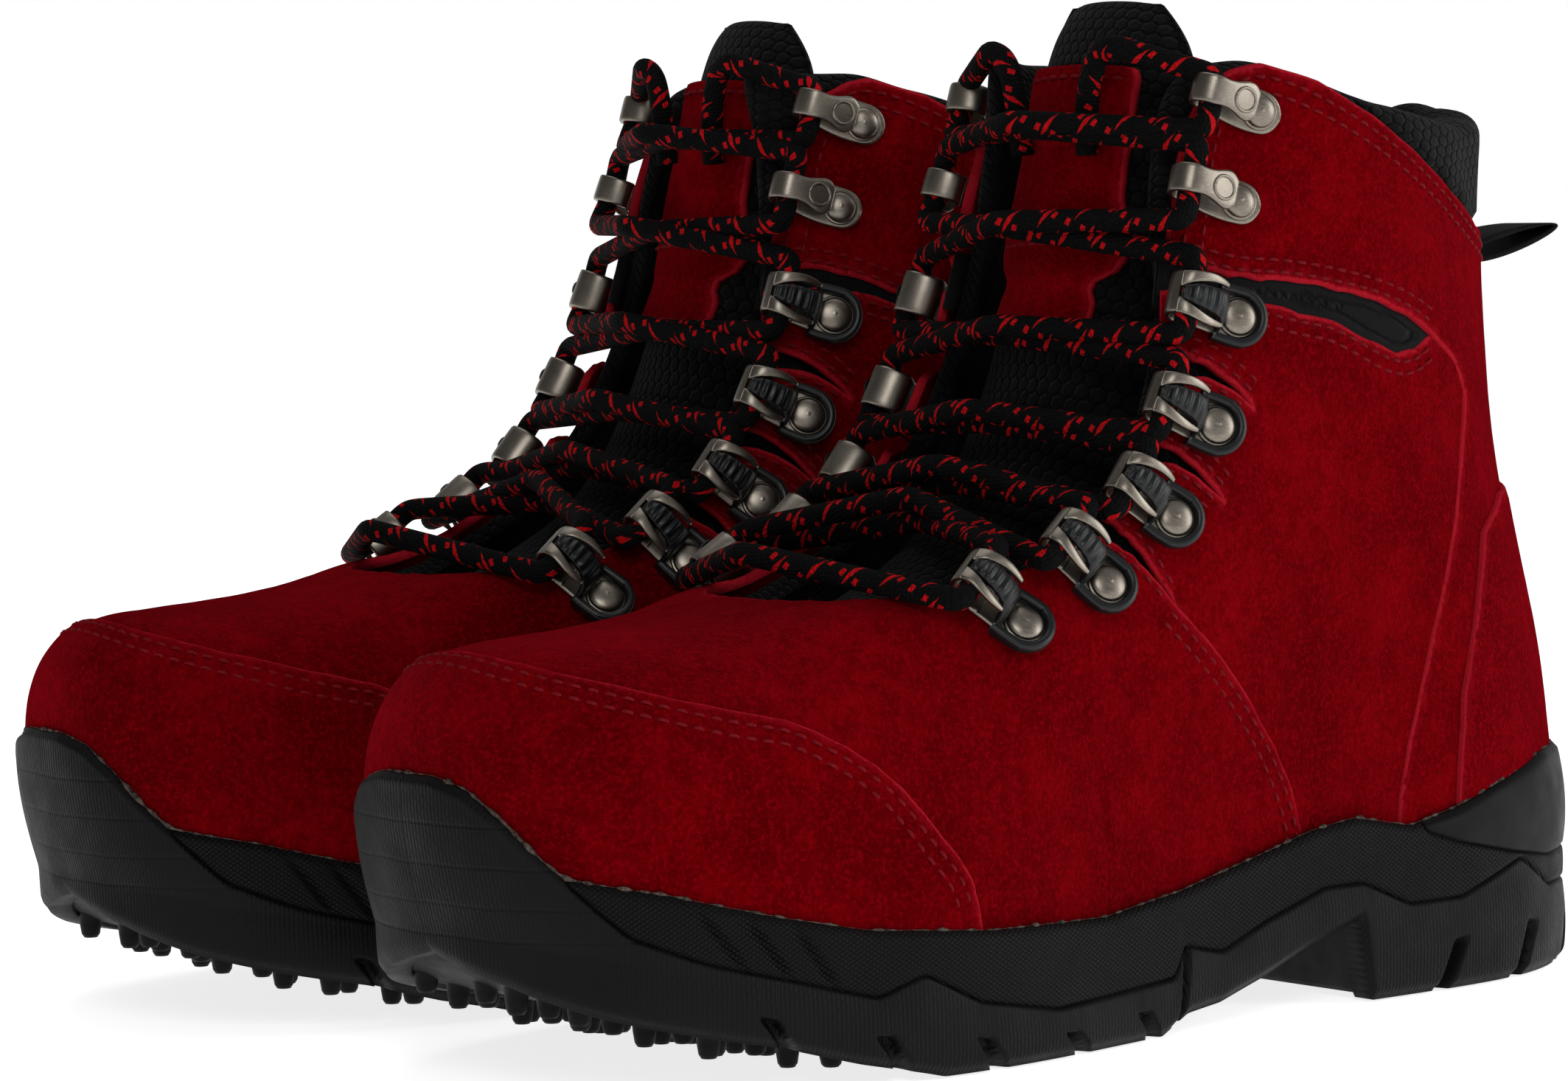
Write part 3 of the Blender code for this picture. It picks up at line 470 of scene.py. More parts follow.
def rubber(name, pattern):
    """Matte black rubber with a moulded pattern: ribs, diamonds or none."""
    n = Nodes(name, 0.55, specular=0.11)
    _, along, up, _ = n.place()
    spot = n.object_place()
    grain = n.noise(spot, 2600, 2)
    normal = n.bump(grain, 0.00012, 0.5)
    if pattern == "ribs":
        wobble = n.math("MULTIPLY_ADD", n.noise(spot, 160, 1), 0.5, along)
        lines = n.math("SINE", n.math("MULTIPLY", wobble, 2 * math.pi / 0.95))
        shift = n.math("MULTIPLY", n.math("FLOOR", n.math("MULTIPLY", along, 1 / 0.95)), 2.4)
        dashes = n.math("SINE", n.math("MULTIPLY_ADD", up, 2 * math.pi / 2.1, shift))
        broken = n.math("MULTIPLY", lines, n.step(dashes, -0.9, 0.3, 0.35, 1.0))
        normal = n.bump(broken, 0.00008, 0.5, normal)
        for line in (50.5, 43.0, 35.5, 29.5):
            off = n.math("ABSOLUTE", n.math("SUBTRACT", n.math("MULTIPLY_ADD", n.noise(spot, 60, 1), 1.2, up),
                                            line + 0.6))
            normal = n.bump(n.step(off, 0.15, 0.5), 0.0003, 0.35, normal)
    if pattern == "diamonds":
        rise = n.math("MULTIPLY", up, 1.55)
        one = n.math("ABSOLUTE", n.math("SINE", n.math("MULTIPLY", n.math("ADD", along, rise), 2.1)))
        two = n.math("ABSOLUTE", n.math("SINE", n.math("MULTIPLY", n.math("SUBTRACT", along, rise), 2.1)))
        cells = n.math("MINIMUM", one, two)
        normal = n.bump(n.step(cells, 0.0, 0.6), 0.0006, 0.9, normal)
    worn = n.step(n.noise(spot, 60, 4), 0.35, 0.75)
    colour = n.mix(worn, (0.0022, 0.0022, 0.0024), (0.0040, 0.0040, 0.0043))
    dust = n.step(n.noise(spot, 800, 3, 0.7), 0.68, 0.8)
    colour = n.mix(n.math("MULTIPLY", dust, 0.25), colour, (0.02, 0.02, 0.021))
    return n.done(colour, normal, n.step(n.noise(spot, 120, 3), 0.2, 0.8, 0.46, 0.64))


def honeycomb(n, along, up, cell):
    """Height of a padded hexagon pattern: 1 in the middle of a cell, 0 on its seams."""
    root = math.sqrt(3)

    def nearest(shift):
        x = n.math("MULTIPLY_ADD", along, 1 / cell, shift)
        y = n.math("MULTIPLY_ADD", up, 1 / (cell * root), shift)
        x = n.math("ABSOLUTE", n.math("SUBTRACT", n.math("FRACT", x), 0.5))
        y = n.math("MULTIPLY", n.math("ABSOLUTE", n.math("SUBTRACT", n.math("FRACT", y), 0.5)), root)
        slant = n.math("ADD", n.math("MULTIPLY", x, 0.5), n.math("MULTIPLY", y, root / 2))
        return n.math("MAXIMUM", x, slant)

    return n.step(n.math("MINIMUM", nearest(0.0), nearest(0.5)), 0.5, 0.28)


def mesh_cloth(name, cell=2.7):
    """Black padded honeycomb mesh."""
    n = Nodes(name, 0.8, specular=0.07)
    _, along, up, _ = n.place()
    spot = n.object_place()
    bent = n.math("MULTIPLY_ADD", n.noise(spot, 130, 2), 1.1, along)
    bent_up = n.math("MULTIPLY_ADD", n.noise(spot, 110, 2), 1.1, up)
    cells = honeycomb(n, bent, bent_up, cell)
    knit = n.math("MULTIPLY", n.math("SINE", n.math("MULTIPLY", along, 2 * math.pi / 0.5)),
                  n.math("SINE", n.math("MULTIPLY", up, 2 * math.pi / 0.5)))
    normal = n.bump(n.noise(spot, 2400, 2), 0.0003, 0.6)
    normal = n.bump(knit, 0.00012, 0.5, normal)
    normal = n.bump(cells, 0.00075, 0.9, normal)
    colour = n.mix(cells, (0.0006, 0.0006, 0.0007), (0.0035, 0.0035, 0.0038))
    fluff = n.step(n.noise(spot, 1900, 2), 0.6, 0.75)
    colour = n.mix(n.math("MULTIPLY", fluff, 0.3), colour, (0.014, 0.014, 0.015))
    n.shader.inputs["Sheen Weight"].default_value = 0.03
    n.shader.inputs["Sheen Roughness"].default_value = 0.5
    return n.done(colour, normal)


def gunmetal():
    """Satin warm-grey plating, brushed along the hook."""
    n = Nodes("gunmetal_plate", 0.33, 1.0)
    vector = n.place()[0]
    spot = n.object_place()
    stretched = n.node("ShaderNodeMapping", {"Vector": vector, "Scale": (0.25, 2.6, 2.6)})
    brush = n.noise(stretched.outputs[0], 3.0, 4, 0.7)
    colour = n.mix(n.step(brush, 0.3, 0.75), (0.17, 0.148, 0.120), (0.29, 0.258, 0.218))
    colour = n.mix(n.step(n.noise(spot, 420, 3), 0.45, 0.75, 0.0, 0.5), colour, (0.15, 0.132, 0.11))
    return n.done(colour, n.bump(brush, 0.00004, 0.35), n.step(brush, 0.2, 0.8, 0.27, 0.42))


def insert_plastic():
    n = Nodes("black_nylon", 0.35, specular=0.3)
    spot = n.object_place()
    colour = n.mix(n.noise(spot, 300, 2), (0.0025, 0.003, 0.0035), (0.006, 0.007, 0.008))
    return n.done(colour, n.bump(n.noise(spot, 1800, 2), 0.00006, 0.4))


def braid():
    """Round black braid with red flecks; place is along the cord and its two turning coordinates."""
    n = Nodes("flecked_braid", 0.85, specular=0.06)
    _, along, cosine, sine = n.place()
    spot = n.object_place()
    angle = n.math("ARCTAN2", sine, cosine)

    def carriers(count, pitch, sense, shift=0.0):
        turned = n.math("MULTIPLY_ADD", angle, sense * count / (2 * math.pi), shift)
        return n.math("MULTIPLY_ADD", along, 1 / pitch, turned)

    def waves(share):
        return n.math("SINE", n.math("MULTIPLY", share, 2 * math.pi))

    one, two = waves(carriers(8, 1.75, 1)), waves(carriers(8, 1.75, -1))
    fibres = n.noise(spot, 3000, 2, 0.7)
    normal = n.bump(fibres, 0.0003, 0.8)
    normal = n.bump(n.math("MULTIPLY", one, two), 0.00022, 0.8, normal)
    over = waves(carriers(2, 4.4, 1, 0.2))
    flecks = []
    for sense in (1, -1):
        lane = n.math("FRACT", carriers(2, 9.4, sense, 0.15 * sense))
        lane = n.math("ABSOLUTE", n.math("SUBTRACT", lane, 0.5))
        ragged = n.math("MULTIPLY_ADD", n.noise(spot, 900, 2), 0.10, lane)
        shown = n.step(n.math("MULTIPLY", over, float(sense)), 0.5, 0.72)
        flecks.append(n.math("MULTIPLY", n.step(ragged, 0.185, 0.150), shown))
    fleck = n.math("MAXIMUM", *flecks)
    black = n.mix(n.step(fibres, 0.35, 0.7), (0.0015, 0.0013, 0.0014), (0.0060, 0.0054, 0.0054))
    red = n.mix(n.step(fibres, 0.35, 0.7), (0.30, 0.002, 0.004), (0.62, 0.006, 0.010))
    return n.done(n.mix(fleck, black, red), normal)


def webbing():
    n = Nodes("woven_webbing", 0.75, specular=0.07)
    _, along, across, _ = n.place()
    warp = n.math("SINE", n.math("MULTIPLY", across, 2 * math.pi / 0.9))
    weft = n.math("SINE", n.math("MULTIPLY", along, 2 * math.pi / 0.7))
    weave = n.math("MULTIPLY", warp, weft)
    spot = n.object_place()
    colour = n.mix(n.step(weave, -0.8, 0.8), (0.0015, 0.0015, 0.0017), (0.0045, 0.0045, 0.0048))
    return n.done(colour, n.bump(weave, 0.00018, 0.7, n.bump(n.noise(spot, 2500, 2), 0.0001, 0.5)))


def plain(name, dark, light, scale, roughness, distance):
    """A plain moulded, spun or pressed material with two tones and a grain."""
    n = Nodes(name, roughness, specular=0.08)
    grain = n.noise(n.object_place(), scale, 4, 0.65)
    return n.done(n.mix(n.step(grain, 0.3, 0.7), dark, light), n.bump(grain, distance, 0.6))


RED = suede("red_suede_nap")
RED_COARSE = suede("red_suede_coarse", 1.5)
RIBBED = rubber("ribbed_rubber", "ribs")
DIAMOND = rubber("diamond_rubber", "diamonds")
SMOOTH = rubber("smooth_rubber", "plain")
MESH = mesh_cloth("honeycomb_mesh")
METAL = gunmetal()
NYLON = insert_plastic()
BRAID = braid()
WEBBING = webbing()
THREAD = plain("red_thread", (0.10, 0.001, 0.003), (0.19, 0.006, 0.011), 2400, 0.8, 0.0001)
CEMENT = plain("cement_line", (0.012, 0.006, 0.006), (0.11, 0.085, 0.07), 900, 0.9, 0.0003)
BOARD = plain("pressed_board", (0.20, 0.15, 0.10), (0.34, 0.27, 0.19), 700, 0.9, 0.0002)
FOAM = plain("footbed_cloth", (0.012, 0.012, 0.013), (0.035, 0.035, 0.038), 1600, 0.9, 0.0003)


# ---------------------------------------------------------------- suede panels and stitching

def mirrored(seam):
    return [(-station, height) for station, height in seam]


def rounded(seam, count):
    """A seam's smooth curve, as points in skin coordinates."""
    return [tuple(point) for point in smooth(seam, count)]


def dense(outline, spacing):
    """A closed outline with points no further apart than this many millimetres."""
    corners = np.array(outline) * STRETCH
    rows = []
    for start, end in zip(corners, np.roll(corners, -1, axis=0)):
        count = max(1, int(np.linalg.norm(end - start) / spacing))
        rows.append(start + (end - start) * np.linspace(0, 1, count, endpoint=False)[:, None])
    return np.concatenate(rows) / STRETCH


def inset_outline(outline, gap):
    """A polygon in skin coordinates drawn in by a gap in millimetres, one value or one a corner."""
    points = np.array(outline) * STRETCH
    ahead = np.roll(points, -1, axis=0) - points
    ahead /= np.linalg.norm(ahead, axis=1)[:, None]
    behind = np.roll(ahead, 1, axis=0)
    area = (points[:, 0] * np.roll(points[:, 1], -1) - points[:, 1] * np.roll(points[:, 0], -1)).sum()
    turn = np.array([[0, 1], [-1, 0]]) * np.sign(area)
    inward = ahead @ turn + behind @ turn
    length = np.maximum((inward**2).sum(axis=1), 0.35)
    return (points + inward * (gap * 2 / length)[:, None]) / STRETCH


def reach(places, line, closed=False):
    """Distances in millimetres from places on the skin to a line on it."""
    spots, line = np.asarray(places) * STRETCH, np.array(line) * STRETCH
    if closed:
        line = np.concatenate([line, line[:1]])
    best = np.full(len(spots), 1e9)
    for start, step in zip(line[:-1], np.diff(line, axis=0)):
        along = np.clip((spots - start) @ step / max(step @ step, 1e-12), 0, 1)
        best = np.minimum(best, np.linalg.norm(spots - start - along[:, None] * step, axis=1))
    return best


def scatter(outline, spacing):
    """Evenly spread places inside an outline on the skin, clear of its edge."""
    edge = np.array(outline) * STRETCH
    low, high = edge.min(axis=0), edge.max(axis=0)
    grid = np.stack(np.meshgrid(np.arange(low[0], high[0], spacing),
                                np.arange(low[1], high[1], spacing * 0.87)), axis=-1)
    grid[1::2, :, 0] += spacing / 2
    spots = grid.reshape(-1, 2)
    inside = np.zeros(len(spots), bool)
    for (ax, ay), (bx, by) in zip(edge, np.roll(edge, -1, axis=0)):
        crosses = (ay > spots[:, 1]) != (by > spots[:, 1])
        rise = by - ay if by != ay else 1
        inside ^= crosses & (spots[:, 0] < ax + (spots[:, 1] - ay) * (bx - ax) / rise)
    spots = spots[inside] / STRETCH
    return spots[reach(spots, outline, True) > 0.95]


def panel(name, outline, gap, high, finish, slot, nodes, spacing=1.9, low=-0.4, relief=None, seed=1):
    """A panel of the upper: a polygon on the skin with rounded, slightly uneven edges."""
    outline = np.array(outline)
    edge = dense(inset_outline(outline, np.broadcast_to(gap, len(outline))), 1.6)
    edge = edge + wave(edge * STRETCH, 9, seed)[:, None] * 0.12 / STRETCH
    second = inset_outline(edge, np.full(len(edge), 0.45))
    spots = np.concatenate([edge, second, scatter(edge, spacing)])
    count = len(edge)
    loop = [(k, (k + 1) % count) for k in range(count)]
    flat = [Vector(spot) for spot in spots * STRETCH]
    points, _, faces, *_ = delaunay_2d_cdt(flat, loop, [], 1, 1e-5)
    places = np.array([(point.x, point.y) for point in points]) / STRETCH
    size = len(places)
    directed = {(face[k], face[(k + 1) % 3]) for face in faces for k in range(3)}
    rim = [pair for pair in directed if pair[::-1] not in directed]
    shell = [list(face) for face in faces]
    shell += [[corner + size for corner in reversed(face)] for face in faces]
    shell += [[b, a, a + size, b + size] for a, b in rim]
    margin = reach(places, edge, True)
    base = skin(places[:, 0], places[:, 1])
    top = high - 0.55 * np.exp(-(margin / 0.5) ** 2) + 0.12 * wave(base, 30, seed + 3)
    top = top + 0.03 * wave(base, 8, seed + 4)
    if relief:
        top = top + relief(places)
    solid = np.concatenate([skin(places[:, 0], places[:, 1], top),
                            skin(places[:, 0], places[:, 1], np.full(size, low))])
    raw = np.clip(1.3 - margin, 0, 1)
    place = np.stack([margin, margin * 0, raw], axis=1)
    return piece(name, solid, shell, finish, nodes=nodes, place=np.concatenate([place, place]))


def crease(places, line, width, depth):
    """A soft fold along a line: a groove with a swollen edge on either side."""
    off = reach(places, line)
    return depth * (0.55 * np.exp(-((off - 1.9 * width) / width) ** 2) - np.exp(-(off / width) ** 2))


def toe_cap_outline():
    seam = rounded(mirrored(TOE_SEAM)[:0:-1] + list(TOE_SEAM), 33)
    return seam + [(station, FOOT_LINE) for station in np.linspace(3.4, -3.4, 15)[1:-1]]


def vamp_outline():
    """The outline behind the toe cap, and how far each corner draws in."""
    seam = rounded(mirrored(TOE_SEAM)[:0:-1] + list(TOE_SEAM), 33)
    foot = [(station, FOOT_LINE) for station in np.linspace(3.4, 6.08, 8)[1:-1]]
    back = rounded(VAMP_SEAM, 9)
    throat = [(station, THROAT_LINE) for station in np.linspace(4.82, 0, 13)]
    outer = foot + back + throat
    inner = mirrored(foot + back + throat[:-1])[::-1]
    return seam + outer + inner, np.array([-2.5] * len(seam) + [0.1] * (len(outer) + len(inner)))


def quarter_outline(top_seam):
    foot = [(station, FOOT_LINE) for station in (6.3, 6.55)]
    front = rounded(VAMP_SEAM, 9)
    tabs = [SLITS[0][2], (5.15, 0.955), SLITS[1][0], SLITS[1][1], SLITS[1][2], (5.6, 0.98),
            SLITS[2][0], SLITS[2][1], SLITS[2][2]]
    top = rounded(top_seam, 9)
    back = rounded(BACKSTAY_SEAM, 12)[1:]
    gap = [-2.5] * 8 + [0.1] * (1 + len(tabs) + len(top)) + [-2.5] * len(back) + [0.1, 0.1]
    return front + tabs + top + back + foot[::-1], np.array(gap)


def collar_outline():
    outer = list(COLLAR_LINE[::-1]) + rounded(CRESCENT_TOP, 9)[1:]
    outer += rounded(BACKSTAY_SEAM, 12)[1:] + [(7.05, FOOT_LINE)]
    patch = rounded(PATCH_SEAM, 9)
    inner = list(COLLAR_LINE[::-1]) + rounded(SHORT_TOP, 9)[1:]
    inner += rounded(BACKSTAY_SEAM, 12)[1:] + [(7.05, FOOT_LINE)]
    other = [(ROUND - station, height) for station, height in (inner + patch)[-2:0:-1]]
    gap = [0.1] * len(outer) + [-2.5] * (2 * len(patch) - 1) + [0.1] * (len(inner) - 1)
    return outer + patch + other, np.array(gap)


def heel_patch_outline():
    outer = rounded(PATCH_SEAM, 9)
    foot = [(station, FOOT_LINE) for station in np.linspace(ROUND - 7.3, 7.3, 9)[1:-1]]
    return outer + [(ROUND - station, height) for station, height in outer[-2::-1]] + foot


def vamp_folds(places):
    """Walking creases across the vamp, on both sides of the foot."""
    shape = 0.08 * wave(places * STRETCH, 22, 21)
    for sign in (1, -1):
        for line, width, depth in (
                (((4.42, 0.2), (4.4, 0.34), (4.38, 0.5)), 0.9, 0.3),
                (((3.75, 0.3), (3.8, 0.42), (3.85, 0.5)), 1.2, 0.16),
                (((5.4, 0.24), (5.34, 0.34), (5.24, 0.46)), 1.0, 0.25),
                (((4.35, 0.68), (4.5, 0.62), (4.62, 0.57)), 0.8, 0.3),
                (((4.95, 0.4), (4.93, 0.48)), 1.0, 0.12)):
            shape += crease(places, [(sign * station, height) for station, height in line], width, depth)
    return shape


def quarter_folds(places):
    shape = 0.1 * wave(places * STRETCH, 24, 22)
    for line in (((6.2, 0.25), (6.3, 0.4), (6.5, 0.52)), ((6.55, 0.2), (6.7, 0.36), (6.95, 0.5))):
        for sign in (1, -1):
            bent = [(sign * station, height) for station, height in line]
            shape += crease(places, bent, 2.2, 0.14)
    return shape


def toe_folds(places):
    """A slight unevenness over the toe cap."""
    return 0.1 * wave(places * STRETCH, 26, 23)


def beside(line, offset):
    """A line on the skin moved to its left, as it runs, by true millimetres."""
    line = np.asarray(line, float)
    step = 0.004
    here = bare_skin(line[:, 0], line[:, 1])
    around = (bare_skin(line[:, 0] + step, line[:, 1]) - here) / step
    up = (bare_skin(line[:, 0], line[:, 1] + step) - here) / step
    ahead = np.gradient(here, axis=0)
    left = np.cross(outward(line[:, 0], line[:, 1]), ahead)
    left *= offset / np.linalg.norm(left, axis=1)[:, None]
    left[:] = np.stack([np.convolve(np.pad(left[:, k], 2, mode="edge"), np.ones(5) / 5, mode="valid")
                        for k in range(3)], axis=1)
    metric = np.stack([(around**2).sum(1), (around * up).sum(1), (up**2).sum(1)])
    one, two = (around * left).sum(1), (up * left).sum(1)
    size = metric[0] * metric[2] - metric[1] ** 2
    return line + np.stack([metric[2] * one - metric[1] * two,
                            metric[0] * two - metric[1] * one], axis=1) / size[:, None]


STITCH_RUN = np.array([-1.25, -1.0, -0.45, 0.45, 1.0, 1.25])
STITCH_SIZE = np.array([0.10, 0.30, 0.38, 0.38, 0.30, 0.10])
STITCH_LIFT = np.array([-0.45, -0.08, 0.14, 0.14, -0.08, -0.45])


def stitches(line, out, pitch=3.3):
    """A row of short raised stitches along a line on the skin."""
    line = smooth(line, 40 * len(line)) if len(line) < 40 else np.asarray(line, float)
    points = skin(line[:, 0], line[:, 1], np.full(len(line), out))
    run = run_along(points)
    count = int(run[-1] / pitch)
    middles = (np.arange(count) + 0.5) * run[-1] / max(count, 1)
    shapes = []
    turn = np.linspace(0, 2 * math.pi, 6, endpoint=False)
    for middle in middles:
        station, height = (np.interp(middle, run, line[:, k]) for k in range(2))
        here, before, after = (np.array([np.interp(middle + step, run, points[:, k]) for k in range(3)])
                               for step in (0, -1, 1))
        ahead = (after - before) / np.linalg.norm(after - before)
        up = outward(np.array([station]), np.array([height]))[0]
        side = np.cross(up, ahead)
        rings = [here + ahead * run_on + up * (lift + size * 0.8 * np.sin(turn))[:, None]
                 + side * (size * np.cos(turn))[:, None]
                 for run_on, size, lift in zip(STITCH_RUN, STITCH_SIZE, STITCH_LIFT)]
        shapes.append(np.concatenate(rings))
    return shapes


def stitch_faces(count):
    one = [list(face) for face in quads(6, 6, False, True)] + [list(range(6))[::-1], list(range(30, 36))]
    return [[corner + 36 * k for corner in face] for k in range(count) for face in one]


def both(line):
    """A seam of the outer side, and the same seam on the inner side."""
    return [np.array(line, float), np.array(mirrored(line), float)[::-1]]


def seam_rows():
    """Every stitched row: its line on the skin and its height above the skin."""
    rows = []
    toe = np.array(rounded(mirrored(TOE_SEAM)[:0:-1] + list(TOE_SEAM), 160))[8:-8]
    rows += [(beside(toe, -offset), 3.0) for offset in (2.6, 5.2)]
    for line in both(rounded(VAMP_SEAM, 60)[4:]):
        toward = 1 if line[0, 0] > 0 else -1
        for offset in (2.4, 5.0):
            moved = beside(line, offset)
            if (moved[30, 0] - line[30, 0]) * toward > 0:
                moved = beside(line, -offset)
            rows.append((moved, 2.1))
    for number, slit in enumerate(SLITS):
        for sign in (1, -1):
            for start, end, lean_out in ((slit[0], slit[1], -1), (slit[1], slit[2], 1)):
                line = np.linspace(start, end, 50)[3:-3] * (sign, 1)
                for offset in (1.7, 4.0) if number else (1.7,):
                    moved = beside(line, offset)
                    if (moved[20, 0] - line[20, 0]) * sign * lean_out < 0:
                        moved = beside(line, -offset)
                    keep = moved[:, 1] < 0.955
                    rows.append((moved[keep], 2.1 if number == 0 and lean_out < 0 else 1.7))
    for top, low, sign in ((CRESCENT_TOP, CRESCENT_LOW, 1), (SHORT_TOP, SHORT_LOW, -1)):
        for offset in (1.8, 4.2):
            upper = np.array(rounded(top, 80))[6:-3]
            moved = beside(upper, offset)
            if moved[40, 1] < upper[40, 1]:
                moved = beside(upper, -offset)
            rows.append((moved * (sign, 1), 2.4))
            lower = np.array(rounded(low, 80))[6:-3]
            moved = beside(lower, offset)
            if moved[40, 1] > lower[40, 1]:
                moved = beside(lower, -offset)
            rows.append((moved * (sign, 1), 1.7))
    rim = np.array(rounded(list(COLLAR_LINE), 170))[4:]
    rim = np.concatenate([rim, (ROUND - rim[::-1][1:, 0])[:, None] * (1, 0) + rim[::-1][1:] * (0, 1)])
    for offset in (2.8, 5.6):
        moved = beside(rim, offset)
        if moved[100, 1] > rim[100, 1]:
            moved = beside(rim, -offset)
        free = side_of(moved[:, 0]) < 9.55
        rows += [(moved[free & (moved[:, 0] < HEEL)], 2.4), (moved[free & (moved[:, 0] > HEEL)], 2.4)]
    return rows


RED_SLOT = "red_suede"
panel("toe_cap", toe_cap_outline(), 0.1, 3.0, RED, RED_SLOT, ("toe_cap",), relief=toe_folds, seed=5)
panel("vamp", *vamp_outline(), 2.1, RED, RED_SLOT, ("vamp",), 1.6, relief=vamp_folds, seed=6)
OUTLINE, GAPS = quarter_outline(CRESCENT_LOW)
panel("quarter_outer", OUTLINE, GAPS, 1.6, RED, RED_SLOT, ("quarter_outer",), relief=quarter_folds, seed=7)
OUTLINE, GAPS = quarter_outline(SHORT_LOW)
panel("quarter_inner", mirrored(OUTLINE), GAPS, 1.6, RED, RED_SLOT, ("quarter_inner",),
      relief=quarter_folds, seed=8)
panel("collar_band", *collar_outline(), 2.35, RED, RED_SLOT, ("collar_band",), seed=9)
panel("heel_patch", heel_patch_outline(), 0.1, 3.7, RED_COARSE, RED_SLOT, ("heel_patch",), seed=10)
for NAME, TOP, LOW, SIGN in (("outer", CRESCENT_TOP, CRESCENT_LOW, 1), ("inner", SHORT_TOP, SHORT_LOW, -1)):
    CRESCENT = [(SIGN * station, height) for station, height in rounded(TOP, 12) + rounded(LOW, 12)[-2::-1]]
    panel(f"crescent_{NAME}", CRESCENT, -2.0, 0.9, MESH, "black_mesh", (), 1.5, -2.0, seed=11)
SHAPES = [shape for line, out in seam_rows() for shape in stitches(line, out)]
piece("stitching", np.concatenate(SHAPES), stitch_faces(len(SHAPES)), THREAD)


# ---------------------------------------------------------------- sole

def slab(rows):
    """A solid of stacked rings; strips run straight across its first and last ring."""
    count = len(rows[0])
    faces = [list(face) for face in quads(len(rows), count, False, True)]
    for ring in (0, len(rows) - 1):
        start = ring * count
        for point in range(count // 2):
            across, beside_it = (count - point) % count, (count - point - 1) % count
            face = list(dict.fromkeys((start + point, start + point + 1, start + beside_it, start + across)))
            faces.append(face if ring else face[::-1])
    return np.concatenate(rows), faces


def band(rows, closed):
    """A solid swept round the foot: rows go round its section, with end caps unless closed."""
    count = len(rows[0])
    faces = [list(face) for face in quads(len(rows), count, True, closed)]
    if not closed:
        faces.append([row * count for row in range(len(rows))])
        faces.append([row * count + count - 1 for row in reversed(range(len(rows)))])
    return np.concatenate(rows), faces


def measured(rows):
    """Each wall point's run round the foot and its height, for the moulded patterns."""
    middle = rows[len(rows) // 3]
    run = run_along(middle)
    return np.concatenate([np.stack([run, row[:, 2], run * 0], axis=1) for row in rows])


def runs(stations):
    """Millimetres round the foot at each station, from the toe down the outer side."""
    points = wall(stations, np.full((1, len(stations)), 20.0), np.full((1, len(stations)), RIM_OUT))[0]
    return run_along(points)


# Slots in the sole's edge: station, slant in millimetres over the slot's height, width, and
# the share of the wall's height that it reaches
SIDE_SLOTS = ((2.28, 5, 3.4, 0.42), (2.82, 5, 3.4, 0.45), (3.37, 5, 3.4, 0.5),
              (4.0, 5, 3.4, 0.5), (4.6, 5, 3.4, 0.55), (7.2, -5, 3.6, 0.55), (7.95, -5, 3.6, 0.5),
              (8.7, -5, 3.6, 0.55), (9.45, -4, 3.6, 0.55))
SPLIT = 4.9


def outsole():
    stations = np.arange(1600) * ROUND / 1600
    tread, top = level(TREAD, stations, 0.012), level(OUTSOLE_TOP, stations, 0.022)
    side = side_of(stations)
    run = runs(stations)
    low_side = np.where(stations < HEEL, run, run[-1] - run)
    at = np.arange(0, HEEL + 0.01, 0.05)
    table = np.interp(at, side[:801], run[:801])
    shares = np.concatenate([np.linspace(0, 0.78, 30), np.linspace(0.8, 1, 16)])
    rise = top - tread
    z, out = [], []
    for share in shares:
        height = tread + rise * share
        under_lip = np.minimum((top - height), 12)
        wide = RIM_OUT - 0.2 + 0.5 * math.sin(math.pi * min(share * 1.1, 1))
        wide = wide - 1.4 * np.exp(-(share * rise / 1.3) ** 2)
        wide = wide - 1.3 * np.exp(-(under_lip / 0.7) ** 2)
        for station, slant, width, reach_up in SIDE_SLOTS:
            middle = np.interp(station, at, table) - slant * (share / reach_up - 0.5)
            across = np.abs(low_side - middle) / (width / 2)
            opened = np.clip((reach_up - share) / 0.08, 0, 1)
            wide = wide - 3.6 * np.exp(-across ** 6) * opened
        split = np.interp(SPLIT, at, table) + 2.5 * (share - 0.5)
        wide = wide - 2.2 * np.exp(-((low_side - split) / 0.9) ** 4)
        z.append(height)
        out.append(wide)
    rings = list(wall(stations, np.array(z), np.array(out)))
    floor = tread + np.interp(side, (4.7, 6.4, 6.6, 7), (4.4, 2.6, 7, 7))
    inner = wall(stations, np.stack([top, floor]), np.full((2, len(stations)), RIM_IN))
    under = wall(stations, np.stack([tread + 0.9, tread]), np.full((2, len(stations)), RIM_OUT - 6.5))
    rows = [under[0], under[1]] + rings + list(inner)
    points, faces = slab(rows)
    piece("outsole", points, faces, RIBBED, nodes=("outsole",), place=measured(rows))


